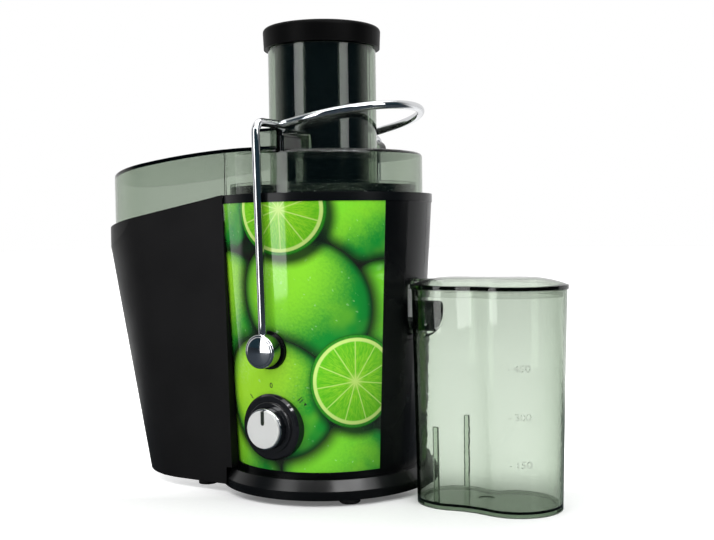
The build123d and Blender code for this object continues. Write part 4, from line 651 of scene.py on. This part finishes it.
def floor():
    """Pale floor that keeps the object's shadow and meets the white background."""
    material, n, shader, output = new_material("studio_floor")
    place = n.place()
    fine = n.noise(place, 260.0, 2.0)
    path = n.add("ShaderNodeLightPath")
    x, y = n.split(place)[:2]
    ahead = along_view(n, x, y)
    mirrored, behind = bounced(n, path), n.span(ahead, MIRROR_START, MIRROR_FULL)
    through = n.math("MINIMUM", path.outputs["Transmission Depth"], 1.0)
    in_front = n.math("SUBTRACT", MIRROR_DIM, n.math("MULTIPLY", behind, MIRROR_DIM))
    dim = n.math("MULTIPLY", mirrored, in_front)
    dim = n.math("MULTIPLY", dim, n.math("SUBTRACT", 1.0, n.math("MULTIPLY", through, THROUGH_LIFT)))
    pale = n.mix(fine, PALE_LOW, PALE_HIGH)
    n.put(shader.inputs["Base Color"], n.mix(dim, pale, NEAR_DARK))
    n.put(shader.inputs["Normal"], n.bump(fine, 0.0002, 0.05))
    shader.inputs["Roughness"].default_value = 0.65
    shader.inputs["Specular IOR Level"].default_value = 0.1
    glow = n.add("ShaderNodeEmission")
    glow.inputs["Color"].default_value = (1.0, 1.0, 1.0, 1.0)
    away = n.math("SQRT", n.math("ADD", n.math("MULTIPLY", x, x), n.math("MULTIPLY", y, y)))
    level = n.math("MAXIMUM", n.span(away, GLOW_START, GLOW_FULL, FLOOR_GLOW, 1.0),
                   n.span(ahead, BEHIND_START, BEHIND_FULL, 0.0, BEHIND_GLOW))
    direct = n.math("MULTIPLY", seen_straight(n, path), level)
    reflected = n.math("MULTIPLY", n.math("MULTIPLY", mirrored, behind), MIRROR_GLOW)
    n.put(glow.inputs["Strength"], n.math("MAXIMUM", direct, reflected))
    both = n.add("ShaderNodeAddShader")
    n.put(both.inputs[0], shader.outputs[0])
    n.put(both.inputs[1], glow.outputs[0])
    n.put(output.inputs["Surface"], both.outputs[0])
    mesh = bmesh.new()
    bmesh.ops.create_grid(mesh, x_segments=8, y_segments=8, size=FLOOR_HALF)
    return finished(mesh, "studio_floor", material)


floor()


def studio_world():
    """White room behind the object, dim room behind the camera."""
    world = bpy.data.worlds.new("studio")
    bpy.context.scene.world = world
    world.use_nodes = True
    tree = world.node_tree
    tree.nodes.clear()
    n = Nodes(tree)
    way = n.add("ShaderNodeTexCoord").outputs["Generated"]
    x, y, z = n.split(way)[:3]
    ahead = along_view(n, x, y)
    level = n.math("MAXIMUM", n.span(ahead, *ROOM_AHEAD), n.span(z, *ROOM_ABOVE))
    seen = seen_straight(n, n.add("ShaderNodeLightPath"))
    strength = n.math("MAXIMUM", level, seen)
    background = n.add("ShaderNodeBackground")
    white_share = n.span(strength, 0.03, 0.25)
    n.put(background.inputs["Color"], n.mix(white_share, DIM_TINT, (1.0, 1.0, 1.0)))
    n.put(background.inputs["Strength"], strength)
    n.put(n.add("ShaderNodeOutputWorld").inputs["Surface"], background.outputs[0])


studio_world()


LAMPS = (       # name, degrees right of the camera, distance, height, width, length, watts, height aimed at
    ("softbox_left", -48, 0.80, 0.43, 0.29, 0.84, 2.5, 0.35),
    ("softbox_right", 48, 1.15, 0.92, 0.42, 1.20, 4.4, 0.60),
    ("softbox_top", 0, 0.15, 1.35, 1.5, 1.5, 11.0, 0.0),
    ("strip_above", 0, 0.75, 1.00, 1.30, 0.05, 2.4, 0.16),
    ("card_right", 26, 0.75, 0.70, 0.50, 0.10, 2.2, 0.02),
)


def lamp(name, turn, distance, height, width, tall, power, aim_z):
    """Softbox at an angle right of the camera's line, seen from the object."""
    side = math.radians(turn)
    away = -FORWARD * math.cos(side) + RIGHT * math.sin(side)
    place = Vector((AXIS_X, 0.0, height)) + away * distance
    data = bpy.data.lights.new(name, "AREA")
    data.shape = "RECTANGLE"
    data.size, data.size_y = width, tall
    data.energy = power
    holder = bpy.data.objects.new(name, data)
    holder.visible_camera = False
    bpy.context.collection.objects.link(holder)
    aim = Vector((AXIS_X, 0.0, aim_z)) - place
    facing = aim.to_track_quat("-Z", "Y").to_matrix().to_4x4()
    holder.matrix_world = Matrix.Translation(place) @ facing


for row in LAMPS:
    lamp(*row)


def camera():
    """Camera at the place and with the turn, pitch and roll of the view."""
    data = bpy.data.cameras.new("camera")
    data.sensor_width = SENSOR
    data.lens = FOCAL_SHARE * SENSOR
    holder = bpy.data.objects.new("camera", data)
    bpy.context.collection.objects.link(holder)
    bpy.context.scene.camera = holder
    look = FORWARD * math.cos(VIEW_PITCH) - Vector((0.0, 0.0, math.sin(VIEW_PITCH)))
    level_up = RIGHT.cross(look)
    right = RIGHT * math.cos(VIEW_ROLL) + level_up * math.sin(VIEW_ROLL)
    up = level_up * math.cos(VIEW_ROLL) - RIGHT * math.sin(VIEW_ROLL)
    turn = Matrix((right, up, -look)).transposed().to_4x4()
    place = Vector((AXIS_X + CAMERA_X, CAMERA_Y, CAMERA_Z))
    holder.matrix_world = Matrix.Translation(place) @ turn


camera()
bpy.context.scene.view_settings.view_transform = "Standard"
